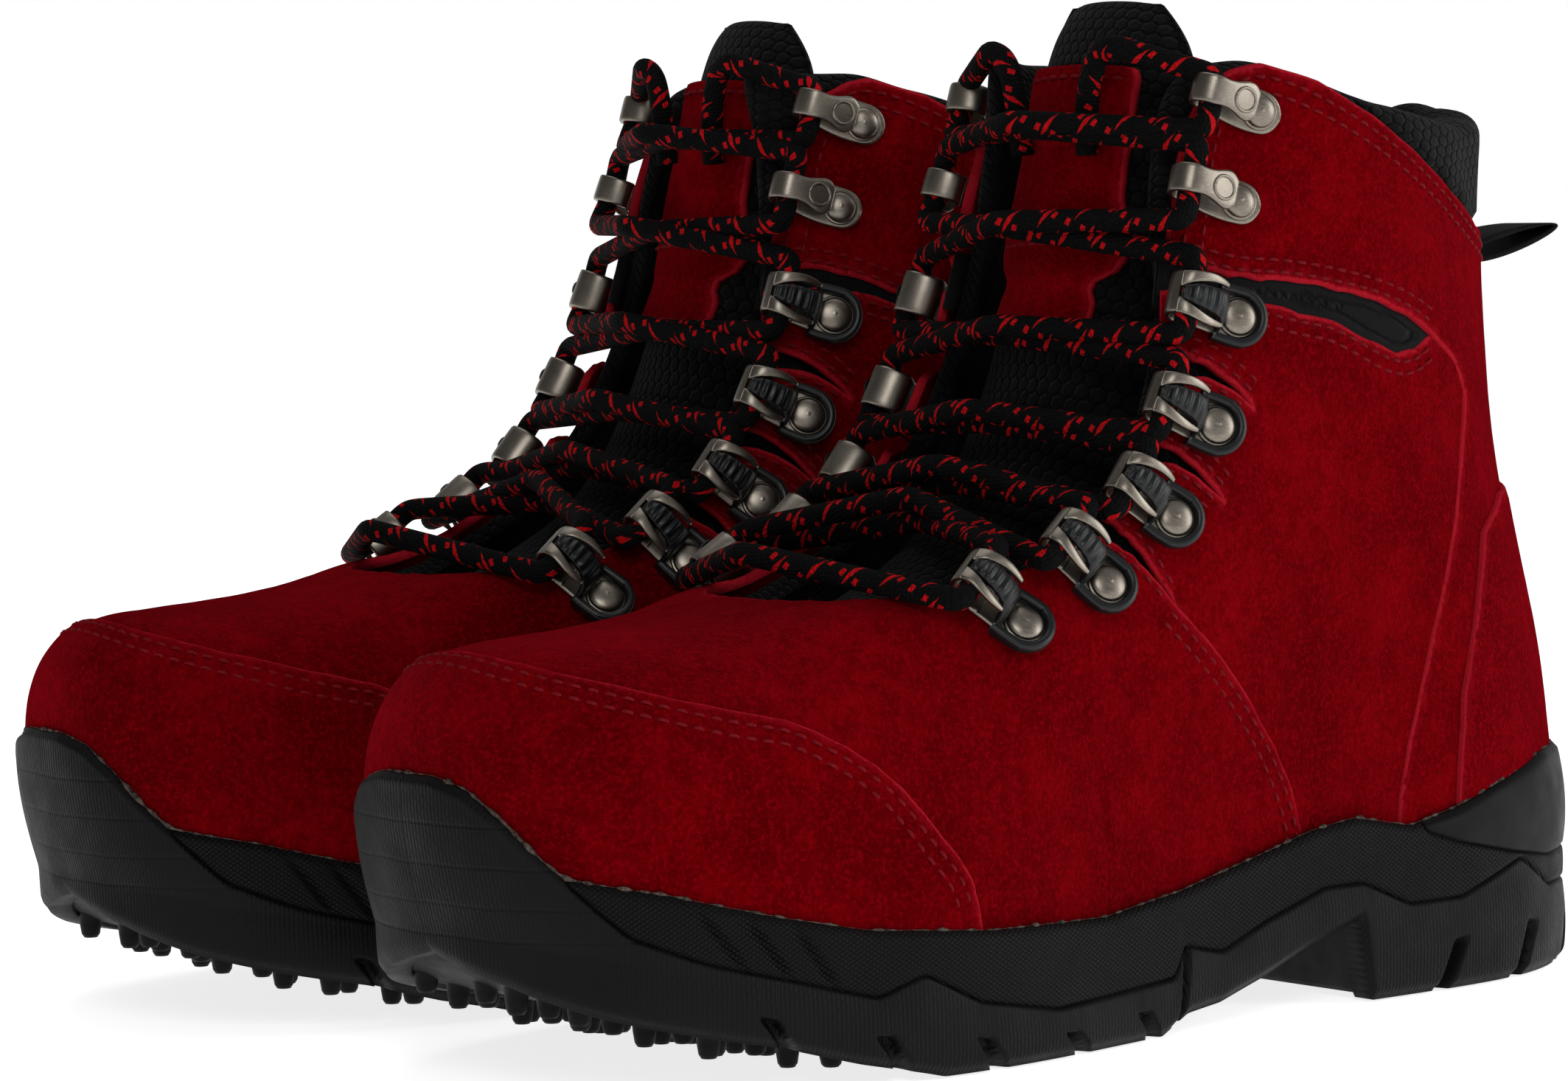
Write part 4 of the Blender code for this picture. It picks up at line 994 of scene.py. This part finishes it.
def studs():
    """Round studs under the toe spring and the forefoot."""
    shapes = []
    turn = np.linspace(0, 2 * math.pi, 16, endpoint=False)
    for row, y in enumerate((27, 34, 48, 55, 70, 77, 92)):
        half = np.interp(y, (18, 40, 70, 100), (23, 35, 43, 44))
        base = np.interp(y, (15.5, 21, 33, 45, 60, 72, 84), (25.5, 19, 14.6, 10.2, 7.8, 4.4, 2.2))
        for number, x in enumerate(np.arange(-half + 4 + (row % 2) * 4, half - 3, 9.6)):
            if (row * 2 + number) % 3 == 1:
                continue
            drop = min(2.6 + 1.2 * ((row + number) % 2), base - 0.2)
            levels = ((2.5, base + 2.5), (2.2, base - drop * 0.3), (1.9, base - drop * 0.8),
                      (1.4, base - drop), (0.4, base - drop))
            rings = [np.stack([x + lean(y) + radius * np.cos(turn), y + radius * np.sin(turn),
                               np.full(16, max(z, 0.15))], axis=1) for radius, z in levels]
            faces = [list(face) for face in quads(5, 16, False, True)]
            faces += [list(range(16)), list(range(64, 80))]
            shapes.append((np.concatenate(rings), faces))
    points, faces = gather(shapes)
    piece("studs", points, faces, SMOOTH)


def round_heel(start, count):
    return np.linspace(start, ROUND - start, count)


def edge_section(low, high, out, steps, lift=0.0, round_top=0.9):
    """Heights and reaches of a rubber band's outer face, from its lower to its upper edge."""
    z, reaches = [], []
    for share in np.linspace(0, 1, steps):
        height = low + (high - low) * share
        bulge = lift * math.sin(math.pi * share) ** 0.7
        z.append(height)
        reaches.append(out + bulge - round_top * np.exp(-((high - height) / 0.7) ** 2)
                       - 0.8 * np.exp(-((height - low) / 0.6) ** 2))
    return z, reaches


def midsole():
    around = round_heel(BUMPER_END - 0.02, 1000)
    low = level(OUTSOLE_TOP, around, 0.022) - 0.6
    high = np.minimum(level(MIDSOLE_TOP, around), level(RUBBER_TOP, around)) + 0.1
    high = np.maximum(high, low + 0.5)
    run = runs(around)
    side = side_of(around)
    low_side = np.where(around < HEEL, run, run[-1] - run)
    z, out = edge_section(low, high, RIM_OUT - 0.35 - 0.5 * np.clip((2.2 - side) / 0.9, 0, 1), 22, 0.25)
    for row in range(len(z)):
        share = row / 21
        for station in (1.95, 2.17, 2.39):
            middle = np.interp(station, side[:500], low_side[:500]) - 11 * (share - 0.5)
            fall = (low_side - middle)
            fold = np.clip(1 - np.abs(fall - 1.6) / 1.9, 0, 1) * np.clip(share * 5, 0, 1) * np.clip(
                (1 - share) * 3, 0, 1)
            out[row] = out[row] - 1.2 * fold
    inner = [np.full(len(around), RIM_IN - 0.3)] * 2
    rows = list(wall(around, np.stack([*z, high, low]), np.stack([*out, *inner])))
    points, faces = band(rows, False)
    piece("midsole", points, faces, DIAMOND, nodes=("midsole",), place=measured(rows))


def heel_cradle():
    around = round_heel(CRADLE_START, 420)
    low, high = level(MIDSOLE_TOP, around) - 0.5, level(RUBBER_TOP, around) + 0.1
    end = np.clip((side_of(around) - CRADLE_START) / 0.3, 0, 1) ** 0.5
    z, out = edge_section(low, high, np.full(len(around), RIM_OUT - 0.2), 20, 0.0)
    z, out = np.array(z), np.array(out)
    for row in range(20):
        share = row / 19
        out[row] += 0.9 * end * math.sin(math.pi * share) - 0.5 * (1 - end)
    inner = [np.full(len(around), RIM_IN - 0.3)] * 2
    rows = list(wall(around, np.stack([*z, high, low]), np.stack([*out, *inner])))
    points, faces = band(rows, False)
    piece("heel_cradle", points, faces, SMOOTH, nodes=("heel_cradle",), place=measured(rows))


def glue_line():
    """The thin uneven bead of cement along the rubber's upper edge."""
    around = np.arange(900) * ROUND / 900
    high = level(RUBBER_TOP, around)
    side = side_of(around)
    slope = np.clip(1 - np.abs(side - 1.0) / 0.45, 0, 1)
    radius = 0.12 + 0.3 * slope + 0.3 * wave(np.stack([np.cos(around / 10 * math.pi) * 200,
                                                        np.sin(around / 10 * math.pi) * 200], axis=1), 6, 31)
    path = wall(around, (high + 0.25)[None], np.full((1, 900), 3.6))[0]
    ahead = np.roll(path, -1, axis=0) - np.roll(path, 1, axis=0)
    ahead /= np.linalg.norm(ahead, axis=1)[:, None]
    side_way = np.cross(ahead, (0, 0, 1))
    side_way /= np.linalg.norm(side_way, axis=1)[:, None]
    up = np.cross(side_way, ahead)
    turn = np.linspace(0, 2 * math.pi, 6, endpoint=False)
    ring = side_way[:, None] * np.cos(turn)[None, :, None] + up[:, None] * np.sin(turn)[None, :, None]
    points = (path[:, None] + ring * np.maximum(radius, 0.05)[:, None, None]).reshape(-1, 3)
    piece("cement_bead", points, [list(face) for face in quads(900, 6, True, True)], CEMENT)


outsole()
studs()
midsole()
heel_cradle()
glue_line()


# ---------------------------------------------------------------- lining, tongue and shield

def collar_edge(stations):
    """Height on the skin where the suede stops and the padded lining shows."""
    side = side_of(stations)
    at, height = np.array(COLLAR_LINE).T
    throat = np.interp(side, (0, 3.5, 4.82, 5.2, 6.0, 6.25), (0.93, 0.94, 0.95, 0.955, 0.97, 0.985))
    return np.where(side < 6.25, throat, np.interp(side, at, height))


def lining():
    """The padded inner boot: its outer face behind the suede, a swollen rim, and its inner face."""
    stations = np.arange(640) * ROUND / 640
    side = side_of(stations)
    suede_edge = collar_edge(stations)
    edge = np.interp(side, (0, 4.8, 6.0, 6.6, 7.5, 8.4, 10), (0.955, 0.96, 0.97, 0.975, 0.97, 0.965, 0.965))
    ankle = np.clip((side - 7.0) / 1.2, 0, 1)
    rim = np.interp(side, (0, 4, 5.5, 6.6, 7.2, 7.8, 10), (0.2, 0.5, 1.5, 5.5, 3.5, 4.5, 5.5))
    rim = rim + np.where(stations > HEEL, 9.5 * np.exp(-((side - 6.9) / 0.3) ** 2), 0)
    bulge = np.interp(side, (0, 5, 6.6, 7.5, 8.4, 10), (0.0, 0.3, 1.5, 3.0, 4.2, 4.2))
    lobes = 1 + 0.16 * wave(np.stack([stations * 33, stations * 0], axis=1), 17, 41)
    thick = 4.0 + 5.0 * ankle
    swell = bulge * lobes
    rows = []
    for share in (0.05, 0.25, 0.45, 0.6, 0.68, 0.74, 0.79, 0.83, 0.86, 0.89, 0.92, 0.95, 0.975, 1.0):
        height = 0.05 + (edge - 0.05) * (share - 0.05) / 0.95
        past = np.clip((height - suede_edge + 0.012) / 0.03, 0, 1)
        rows.append(skin(stations, height, -2.6 + swell * past * past * (3 - 2 * past)))
    top = skin(stations, edge, np.zeros(640))
    below = skin(stations, edge - 0.03, np.zeros(640))
    up = (top - below) / np.linalg.norm(top - below, axis=1)[:, None]
    out = outward(stations, edge)
    past = np.clip((edge - suede_edge + 0.012) / 0.03, 0, 1)
    outer = -2.6 + swell * past * past * (3 - 2 * past)
    inner = -2.6 - thick
    for turn in np.linspace(0.06, 0.94, 17) * math.pi:
        wide = math.copysign(abs(math.cos(turn)) ** 0.8, math.cos(turn))
        tall = math.sin(turn) ** 0.8
        rows.append(top + out * ((outer + inner) / 2 + (outer - inner) / 2 * wide)[:, None]
                    + up * (rim * lobes * tall)[:, None])
    for share in (1.0, 0.96, 0.91, 0.85, 0.78, 0.68, 0.56, 0.42, 0.25, 0.05):
        height = 0.05 + (edge - 0.05) * (share - 0.05) / 0.95
        pad = 5.0 * ankle * np.clip((height - 0.4) / 0.4, 0, 1)
        rows.append(skin(stations, height, -6.6 - pad))
    points, faces = band(rows, True)
    run = np.zeros(640)
    place = []
    for k, row in enumerate(rows):
        if k:
            run = run + np.linalg.norm(row - rows[k - 1], axis=1)
        place.append(np.stack([stations * 31, run, run * 0], axis=1))
    made = piece("lining", points, faces, MESH, nodes=("lining",), place=np.concatenate(place))


def frame_along(line, shares):
    """Points and forward normals along a curve in the boot's middle plane."""
    places = np.asarray(shares) * (len(line) - 1)
    curve = np.array(line, float)
    points = weights(len(line), places, False) @ curve
    ahead = weights(len(line), np.minimum(places + 0.01, len(line) - 1), False) @ curve
    behind = weights(len(line), np.maximum(places - 0.01, 0), False) @ curve
    along = ahead - behind
    along /= np.linalg.norm(along, axis=1)[:, None]
    return points, np.stack([-along[:, 1], along[:, 0]], axis=1)


def tongue_strip(shares, half, front, back, across):
    """Rings round a curved strip; front and back give its faces' reach at each share and place."""
    points, forward = frame_along(TONGUE_LINE, shares)
    rows, place = [], []
    for k, (spot, normal, wide) in enumerate(zip(points, forward, half)):
        for face, order in ((front, across), (back, across[::-1])):
            fall = face(shares[k], order) - TONGUE_CROWN * (order * wide / 27) ** 2
            y = spot[0] + normal[0] * fall
            z = spot[1] + normal[1] * fall
            rows.append(np.stack([order * wide + lean(y), y, z], axis=1))
            place.append(np.stack([order * wide, np.full(len(order), shares[k] * 150), order * 0], axis=1))
    ring = 2 * len(across)
    faces = [list(face) for face in quads(len(shares), ring, False, True)]
    faces += [list(range(ring))[::-1], list(range((len(shares) - 1) * ring, len(shares) * ring))]
    return np.concatenate(rows), faces, np.concatenate(place)


def tongue():
    """The padded tongue, with rolled edges and a full top."""
    shares = np.concatenate([np.linspace(0, 0.94, 70), np.linspace(0.95, 1.0, 12)])
    half = np.interp(shares, np.linspace(0, 1, len(TONGUE_HALF)), TONGUE_HALF)
    half = half * (1 - 0.38 * np.clip((shares - 0.9) / 0.1, 0, 1) ** 2.2)
    across = np.sin(np.linspace(-1, 1, 41) * math.pi / 2)

    def swell(share):
        return math.sqrt(max(1 - max(share - 0.94, 0) ** 2 / 0.062 ** 2, 0.02))

    def front(share, order):
        full = (1 - np.abs(order) ** 5) * swell(share)
        panels = 0.7 * np.exp(-((np.abs(order) - 0.72) / 0.05) ** 2)
        return -3.0 + 3.4 * full - panels * full

    def back(share, order):
        return -3.0 - 3.0 * (1 - np.abs(order) ** 4) * swell(share) + 1.0 * np.abs(order) ** 4

    points, faces, place = tongue_strip(shares, half, front, back, across)
    made = piece("tongue", points, faces, MESH, "tongue_body", ("tongue",), place)


def tongue_shield():
    """The suede strip on the tongue, with a scalloped flap at its lower end."""
    shares = np.linspace(0.585, 0.905, 90)
    flap = ((0.585, 6), (0.59, 9.5), (0.60, 12.4), (0.615, 13.6), (0.635, 13.4), (0.65, 12.2),
            (0.66, 12.6), (0.675, 16.2), (0.69, 17.6), (0.72, 17.4), (0.76, 15.6), (0.80, 15.2),
            (0.895, 15.0), (0.905, 14.2))
    half = np.interp(shares, *zip(*flap))
    across = np.sin(np.linspace(-1, 1, 31) * math.pi / 2)

    def front(share, order):
        curl = 1.6 * np.clip((0.64 - share) / 0.055, 0, 1) ** 2
        edge = 0.5 * np.exp(-((1 - np.abs(order)) / 0.03) ** 2)
        return 2.8 + curl - edge + 0.25 * np.sin(order * 3 + share * 40)

    def back(share, order):
        return front(share, order) - 1.7

    points, faces, place = tongue_strip(shares, half, front, back, across)
    rim = np.abs(np.concatenate([across, across[::-1]] * 90))
    place = np.stack([(1 - rim) * 15, rim * 0, np.clip((rim - 0.93) * 14, 0, 1)], axis=1)
    piece("tongue_shield", points, faces, RED, "tongue_body", ("tongue_shield",), place)
    shapes = []
    for share, wide in ((0.605, 10.5), (0.70, 15.5), (0.89, 13.5)):
        spots, forward = frame_along(TONGUE_LINE, [share])
        count = int(2 * wide / 3.2)
        for x in np.linspace(-wide + 1.6, wide - 1.6, count):
            bars = []
            for step in np.linspace(-1.2, 1.2, 6):
                spot = x + step
                fall = 3.05 - TONGUE_CROWN * (spot / 27) ** 2 - 0.3 * (abs(step) / 1.2) ** 3
                fall += 1.6 * np.clip((0.64 - share) / 0.055, 0, 1) ** 2
                y, z = spots[0] + forward[0] * fall
                bars.append((spot + lean(y), y, z))
            shapes.append(tube(np.array(bars), [0.15, 0.4, 0.46, 0.46, 0.4, 0.15], 6))
    points, faces = gather(shapes)
    piece("shield_stitching", points, faces, THREAD, "tongue_body")


lining()
tongue()
tongue_shield()


# ---------------------------------------------------------------- hooks

def hook_frame(index, sign):
    """A hook's middle on the suede, its direction to the bend, its width and its outward axis."""
    rivet, bend = np.array(HOOKS[index][0]), np.array(HOOKS[index][1])
    ends = [skin(sign * place[0], place[1], SUEDE)[0] for place in (rivet, bend)]
    middle = (rivet + bend) / 2
    normal = outward(np.array([sign * middle[0]]), np.array([middle[1]]))[0]
    centre = skin(sign * middle[0], middle[1], SUEDE + 0.6)[0]
    along = ends[1] - ends[0]
    along -= normal * (along @ normal)
    along /= np.linalg.norm(along)
    return centre, along, np.cross(along, normal), normal


def bar(stops, thick=1.1, sharp=5):
    """A flat bar along (along, outward, half width) stops, in a hook's own space."""
    stops = np.array(stops, float)
    count = max(24, 5 * len(stops))
    line = smooth(stops, count)
    ahead = np.gradient(line[:, :2], axis=0)
    ahead /= np.linalg.norm(ahead, axis=1)[:, None]
    path = np.stack([line[:, 0], line[:, 0] * 0, line[:, 1]], axis=1)
    normals = np.stack([-ahead[:, 1], ahead[:, 0] * 0, ahead[:, 0]], axis=1)
    across = np.tile((0.0, 1.0, 0.0), (count, 1))
    deep = np.full(count, thick) if np.isscalar(thick) else np.interp(np.linspace(0, 1, count), *thick)
    return sweep(path, normals, across, line[:, 2], deep, sharp)


def bend_stops(width):
    """The stops of a half-round bend over the lace."""
    return [(4.6 + 3.3 * math.cos(turn), 5.0 + (4.45 if turn < 0 else 3.35) * math.sin(turn), width)
            for turn in np.linspace(-math.pi / 2, math.pi / 2, 9)]


def dome(middle, radius, base, rise):
    profile = [(0.01, base - 0.8), (radius * 1.1, base - 0.8), (radius * 1.13, base + 0.2),
               (radius * 1.05, base + 0.45), (radius * 0.98, base + 0.35)]
    profile += [(max(radius * math.cos(turn), 0.02), base + 0.4 + rise * math.sin(turn) ** 0.8)
                for turn in np.linspace(0.12, math.pi / 2, 9)]
    points, faces = lathe(profile, 36)
    return points + (middle, 0, 0), faces


def open_hook():
    """A speed hook: a riveted plate, a narrow bend and a flared arm with a pressed ring."""
    plate = bar([(-12.0, 0.55, 0.8), (-11.2, 0.55, 2.6), (-9.5, 0.55, 4.0), (-7.0, 0.55, 4.4),
                 (-4.0, 0.55, 4.4), (0.0, 0.55, 3.9), (3.2, 0.55, 3.1)])
    arm = bar(bend_stops(2.9) + [(2.6, 8.1, 2.7), (0.2, 7.5, 3.1), (-1.8, 6.9, 3.8), (-3.4, 6.45, 3.7),
                                 (-4.6, 6.1, 2.6)], 1.2)
    turn = np.linspace(0, 2 * math.pi, 31)[:-1]
    ring = np.stack([-1.7 + 2.3 * np.cos(turn), 2.3 * np.sin(turn),
                     7.5 + 0.3 * (2.3 * np.cos(turn))], axis=1)
    return [plate, arm, tube(np.concatenate([ring, ring[:2]]), 0.36, 8), dome(-7.3, 3.35, 1.1, 1.7)], []


def loop_hook():
    """A loop eyelet: a metal fork over the bend, a ribbed black insert and a bezel round the rivet."""
    crown = bar([(1.0, 0.55, 3.9), (3.0, 0.55, 4.0)] + bend_stops(4.3)[:7], 1.2)
    prongs = []
    for sign in (-1, 1):
        path = np.array([(7.0, 2.6, 7.25), (6.0, 3.0, 7.95), (4.4, 3.5, 8.3), (1.4, 4.2, 7.8),
                         (-1.2, 4.3, 6.8), (-2.6, 4.1, 6.1)]) * (1, sign, 1)
        line = smooth(path, 26)
        ahead = np.gradient(line, axis=0)
        ahead /= np.linalg.norm(ahead, axis=1)[:, None]
        across = np.tile((0.0, 1.0, 0.0), (26, 1))
        prongs.append(sweep(line, np.cross(across, ahead), across, np.linspace(1.7, 0.4, 26),
                            np.linspace(1.25, 0.9, 26), 4))
    plate = bar([(-12.0, 0.45, 2.0), (-11.0, 0.45, 3.8), (-8.0, 0.45, 4.6), (-4.0, 0.45, 4.6),
                 (0.0, 0.45, 4.2), (3.0, 0.45, 4.0)], 0.9)
    ribs = np.linspace(0, 1, 121)
    depth = 2.0 + 0.7 * np.clip(np.sin(ribs * 2 * math.pi * 8), -0.5, 1) * (ribs < 0.7)
    insert = bar([(6.3, 7.6, 1.5), (4.6, 8.3, 2.0), (3.0, 8.4, 2.3), (1.2, 7.95, 2.5), (-0.8, 7.1, 2.7),
                  (-2.2, 5.9, 3.1), (-3.0, 4.2, 3.8), (-3.1, 2.2, 4.6)], (ribs, depth), 2.6)
    turn = np.linspace(-0.5 * math.pi, 0.5 * math.pi, 19)
    curve = [(-7.4 - 5.0 * math.cos(a), 5.2 * math.sin(a)) for a in turn]
    curve = [(-2.6, -4.9), (-5.0, -5.15)] + curve[1:-1] + [(-5.0, 5.15), (-2.6, 4.9)]
    line = smooth([(a, c, 1.15) for a, c in curve], 70)
    ahead = np.gradient(line, axis=0)
    ahead /= np.linalg.norm(ahead, axis=1)[:, None]
    up = np.tile((0.0, 0.0, 1.0), (70, 1))
    bezel = sweep(line, up, np.cross(up, ahead), np.full(70, 0.95), np.full(70, 2.7), 3)
    return [crown, *prongs, plate, dome(-7.4, 3.7, 0.9, 1.5)], [insert, bezel]


def hooks():
    made = {True: open_hook(), False: loop_hook()}
    for index in range(len(HOOKS)):
        metal, black = made[index < OPEN_HOOKS]
        for sign, edge in ((1, "outer"), (-1, "inner")):
            centre, along, across, normal = hook_frame(index, sign)
            for shapes, label, finish, nodes in (
                    (metal, "hook", METAL, (f"hook_{edge}_{index + 1}",)), (black, "hook_insert", NYLON, ())):
                if shapes:
                    local, faces = gather(shapes)
                    points = centre + local @ np.stack([along, across, normal])
                    piece(f"{label}_{edge}_{index + 1}", points, faces, finish, nodes=nodes,
                          place=local)


hooks()


# ---------------------------------------------------------------- lace and pull loop

def lace_seat(index, sign):
    """Where the lace runs through a hook: just before it, inside it and just after it."""
    centre, along, across, normal = hook_frame(index, sign)
    inside = centre + along * 4.5 + normal * (HOOK_SHEET + HOOK_BORE)
    upward = across * np.sign(across[1] + across[2])
    lift = normal * 1.3
    return inside - upward * LACE_STRAIGHT + lift, inside, inside + upward * LACE_STRAIGHT + lift


def over_tongue(near, lift):
    """The point a lift forward of the tongue's middle, level with a nearby point."""
    line = np.array(TONGUE_LINE)
    share = np.interp(near[2], line[:, 1], np.linspace(0, 1, len(line)))
    points, forward = frame_along(TONGUE_LINE, [share])
    y, z = points[0] + forward[0] * lift
    return np.array([lean(y), y, z])


def lace_route():
    """The whole lace: down one criss-cross strand, across the lowest hooks and up the other."""
    strands = []
    for first in (1, -1):
        strand = []
        for index in range(len(HOOKS) - 1, -1, -1):
            sign = first if index % 2 == 0 else -first
            below, inside, above = lace_seat(index, sign)
            if strand:
                lift = LACE_OVER if (first > 0) == (index % 2 == 0) else LACE_UNDER
                lift += 4.4 if index < 2 else 0
                strand.append(over_tongue((strand[-1] + below) / 2, lift))
            strand += [below, inside, above]
        tail = inside
        sign = np.sign(tail[0] - lean(tail[1]))
        strand[-1] = inside + (above - inside) * 0.4
        for rise, lift, wide in ((6.5, 9.5, 17.5), (5.0, 8.5, 13.5), (0.0, 7.0, 11),
                                 (-7, 5.0, 10), (-13, 3.0, 9.5)):
            strand.append(over_tongue(tail + (0, 0, rise), lift) + (sign * wide, 0, 0))
        strands.append(strand)
    bar_point = skin(0, 0.98, SUEDE + 7.7)[0]
    return strands[0][::-1] + [bar_point] + strands[1]


def lace():
    path = eased(lace_route(), LACE_STEP, LACE_EASE)
    points, faces = tube(path, LACE_RADIUS, 16)
    run = run_along(path)
    turn = np.linspace(0, 2 * math.pi, 16, endpoint=False)[None, :] + run[:, None] * 0.12
    place = np.stack([np.repeat(run, 16), (np.cos(turn) * LACE_RADIUS).ravel(),
                      (np.sin(turn) * LACE_RADIUS).ravel()], axis=1)
    piece("lace", points, faces, BRAID, nodes=("lace",), place=place)


def pull_loop():
    """A flat webbing loop behind the collar, pinched to a fold at its end."""
    turns = np.linspace(0, 2 * math.pi, 121)[:-1]
    rows, place = [], []
    for inset in (0.0, 1.4):
        reach_out, swell = LOOP_REACH / 2 - inset, LOOP_HEIGHT * 0.3 - inset
        y = LOOP_ROOT[0] + LOOP_REACH / 2 - reach_out * np.cos(turns)
        pinch = 1 - 0.35 * np.clip((y - LOOP_ROOT[0]) / LOOP_REACH, 0, 1)
        z = LOOP_ROOT[1] + swell * np.sin(turns) * pinch + LOOP_RISE * (1 - np.cos(turns))
        half = LOOP_WIDTH / 2 * (1 - 0.18 * np.clip((y - LOOP_ROOT[0]) / LOOP_REACH, 0, 1) ** 2)
        shares = np.linspace(-1, 1, 15)
        for share in shares if inset == 0 else shares[::-1]:
            rows.append(np.stack([half * share, y, z], axis=1))
            place.append(np.stack([turns * 12, half * share, turns * 0], axis=1))
    points, faces = band(rows, True)
    piece("pull_loop", points, faces, WEBBING, "pull_loop_body", ("pull_loop",),
          np.concatenate(place))


lace()
pull_loop()


# ---------------------------------------------------------------- kept frame pieces

for LABEL in ("left", "right"):
    for NODE, FINISH in (("insole_board", BOARD), ("footbed", FOAM)):
        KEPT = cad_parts[f"{LABEL}_{NODE}"]
        KEPT.data.materials.clear()
        KEPT.data.materials.append(FINISH)


# ---------------------------------------------------------------- floor, light and camera

def plane(name, corners, finish):
    mesh = bpy.data.meshes.new(name)
    mesh.from_pydata(corners, [], [range(4)])
    mesh.materials.append(finish)
    thing = bpy.data.objects.new(name, mesh)
    bpy.context.scene.collection.objects.link(thing)


def softbox(name, at, aim, width, height, power):
    lamp = bpy.data.lights.new(name, "AREA")
    lamp.shape = "RECTANGLE"
    lamp.size, lamp.size_y = width, height
    lamp.energy = power
    thing = bpy.data.objects.new(name, lamp)
    thing.location = at
    thing.rotation_euler = (Vector(aim) - Vector(at)).to_track_quat("-Z", "Y").to_euler()
    bpy.context.scene.collection.objects.link(thing)


FLOOR = Nodes("pale_floor", 0.9, specular=0.0)
FLOOR.shader.inputs["Emission Color"].default_value = (1, 1, 1, 1)
FLOOR.shader.inputs["Emission Strength"].default_value = 0.8
plane("floor", [(-40, -40, -0.0005), (40, -40, -0.0005), (40, 40, -0.0005), (-40, 40, -0.0005)],
      FLOOR.done((0.8, 0.8, 0.8)))
softbox("key_light", (1.5, -1.2, 1.3), (0, 0, 0.1), 0.9, 0.9, 13)
softbox("top_light", (-0.3, 0.2, 1.9), (0, 0, 0.1), 1.4, 1.4, 6)
softbox("heel_light", (1.6, 1.3, 0.7), (0, 0, 0.1), 0.6, 1.2, 13)
WORLD = bpy.data.worlds.new("studio")
WORLD.use_nodes = True
SKY = WORLD.node_tree
HEIGHT = SKY.nodes.new("ShaderNodeSeparateXYZ")
RAMP = SKY.nodes.new("ShaderNodeMapRange")
SKY.links.new(SKY.nodes.new("ShaderNodeTexCoord").outputs["Generated"], HEIGHT.inputs[0])
SKY.links.new(HEIGHT.outputs["Z"], RAMP.inputs["Value"])
for SOCKET, NUMBER in (("From Min", 0.12), ("From Max", 0.35), ("To Min", 1.0), ("To Max", 0.3)):
    RAMP.inputs[SOCKET].default_value = NUMBER
FRONT = SKY.nodes.new("ShaderNodeMapRange")
SKY.links.new(HEIGHT.outputs["Y"], FRONT.inputs["Value"])
for SOCKET, NUMBER in (("From Min", -0.5), ("From Max", 0.1), ("To Min", 0.35), ("To Max", 1.0)):
    FRONT.inputs[SOCKET].default_value = NUMBER
BOTH = SKY.nodes.new("ShaderNodeMath")
BOTH.operation = "MULTIPLY"
SKY.links.new(RAMP.outputs[0], BOTH.inputs[0])
SKY.links.new(FRONT.outputs[0], BOTH.inputs[1])
SKY.links.new(BOTH.outputs[0], SKY.nodes["Background"].inputs["Strength"])
SKY.nodes["Background"].inputs["Color"].default_value = (1, 1, 1, 1)
bpy.context.scene.world = WORLD
bpy.context.scene.view_settings.view_transform = "Standard"


def camera():
    azimuth, elevation = math.radians(50.7), math.radians(3.0)
    back = Vector((math.sin(azimuth) * math.cos(elevation), -math.cos(azimuth) * math.cos(elevation),
                   math.sin(elevation)))
    right = Vector((math.cos(azimuth), math.sin(azimuth), 0))
    up = back.cross(right)
    facing = Matrix((right, up, back)).transposed()
    spot = Vector((-3.4, -4.0, 91.9)) + back * 1096
    tilt = Matrix.Rotation(math.radians(-1.4), 3, "X")
    pivot = Vector((0, -60, 0))
    spot = tilt @ (spot - pivot) + pivot - Vector(PAIR_MIDDLE)
    lens = bpy.data.cameras.new("camera")
    lens.sensor_width = 36
    lens.lens = 121.69
    lens.shift_x, lens.shift_y = -0.0174, 0.0028
    lens.clip_start = 0.05
    thing = bpy.data.objects.new("camera", lens)
    thing.matrix_world = Matrix.Translation(spot / 1000) @ (tilt @ facing).to_4x4()
    bpy.context.scene.collection.objects.link(thing)
    bpy.context.scene.camera = thing


camera()
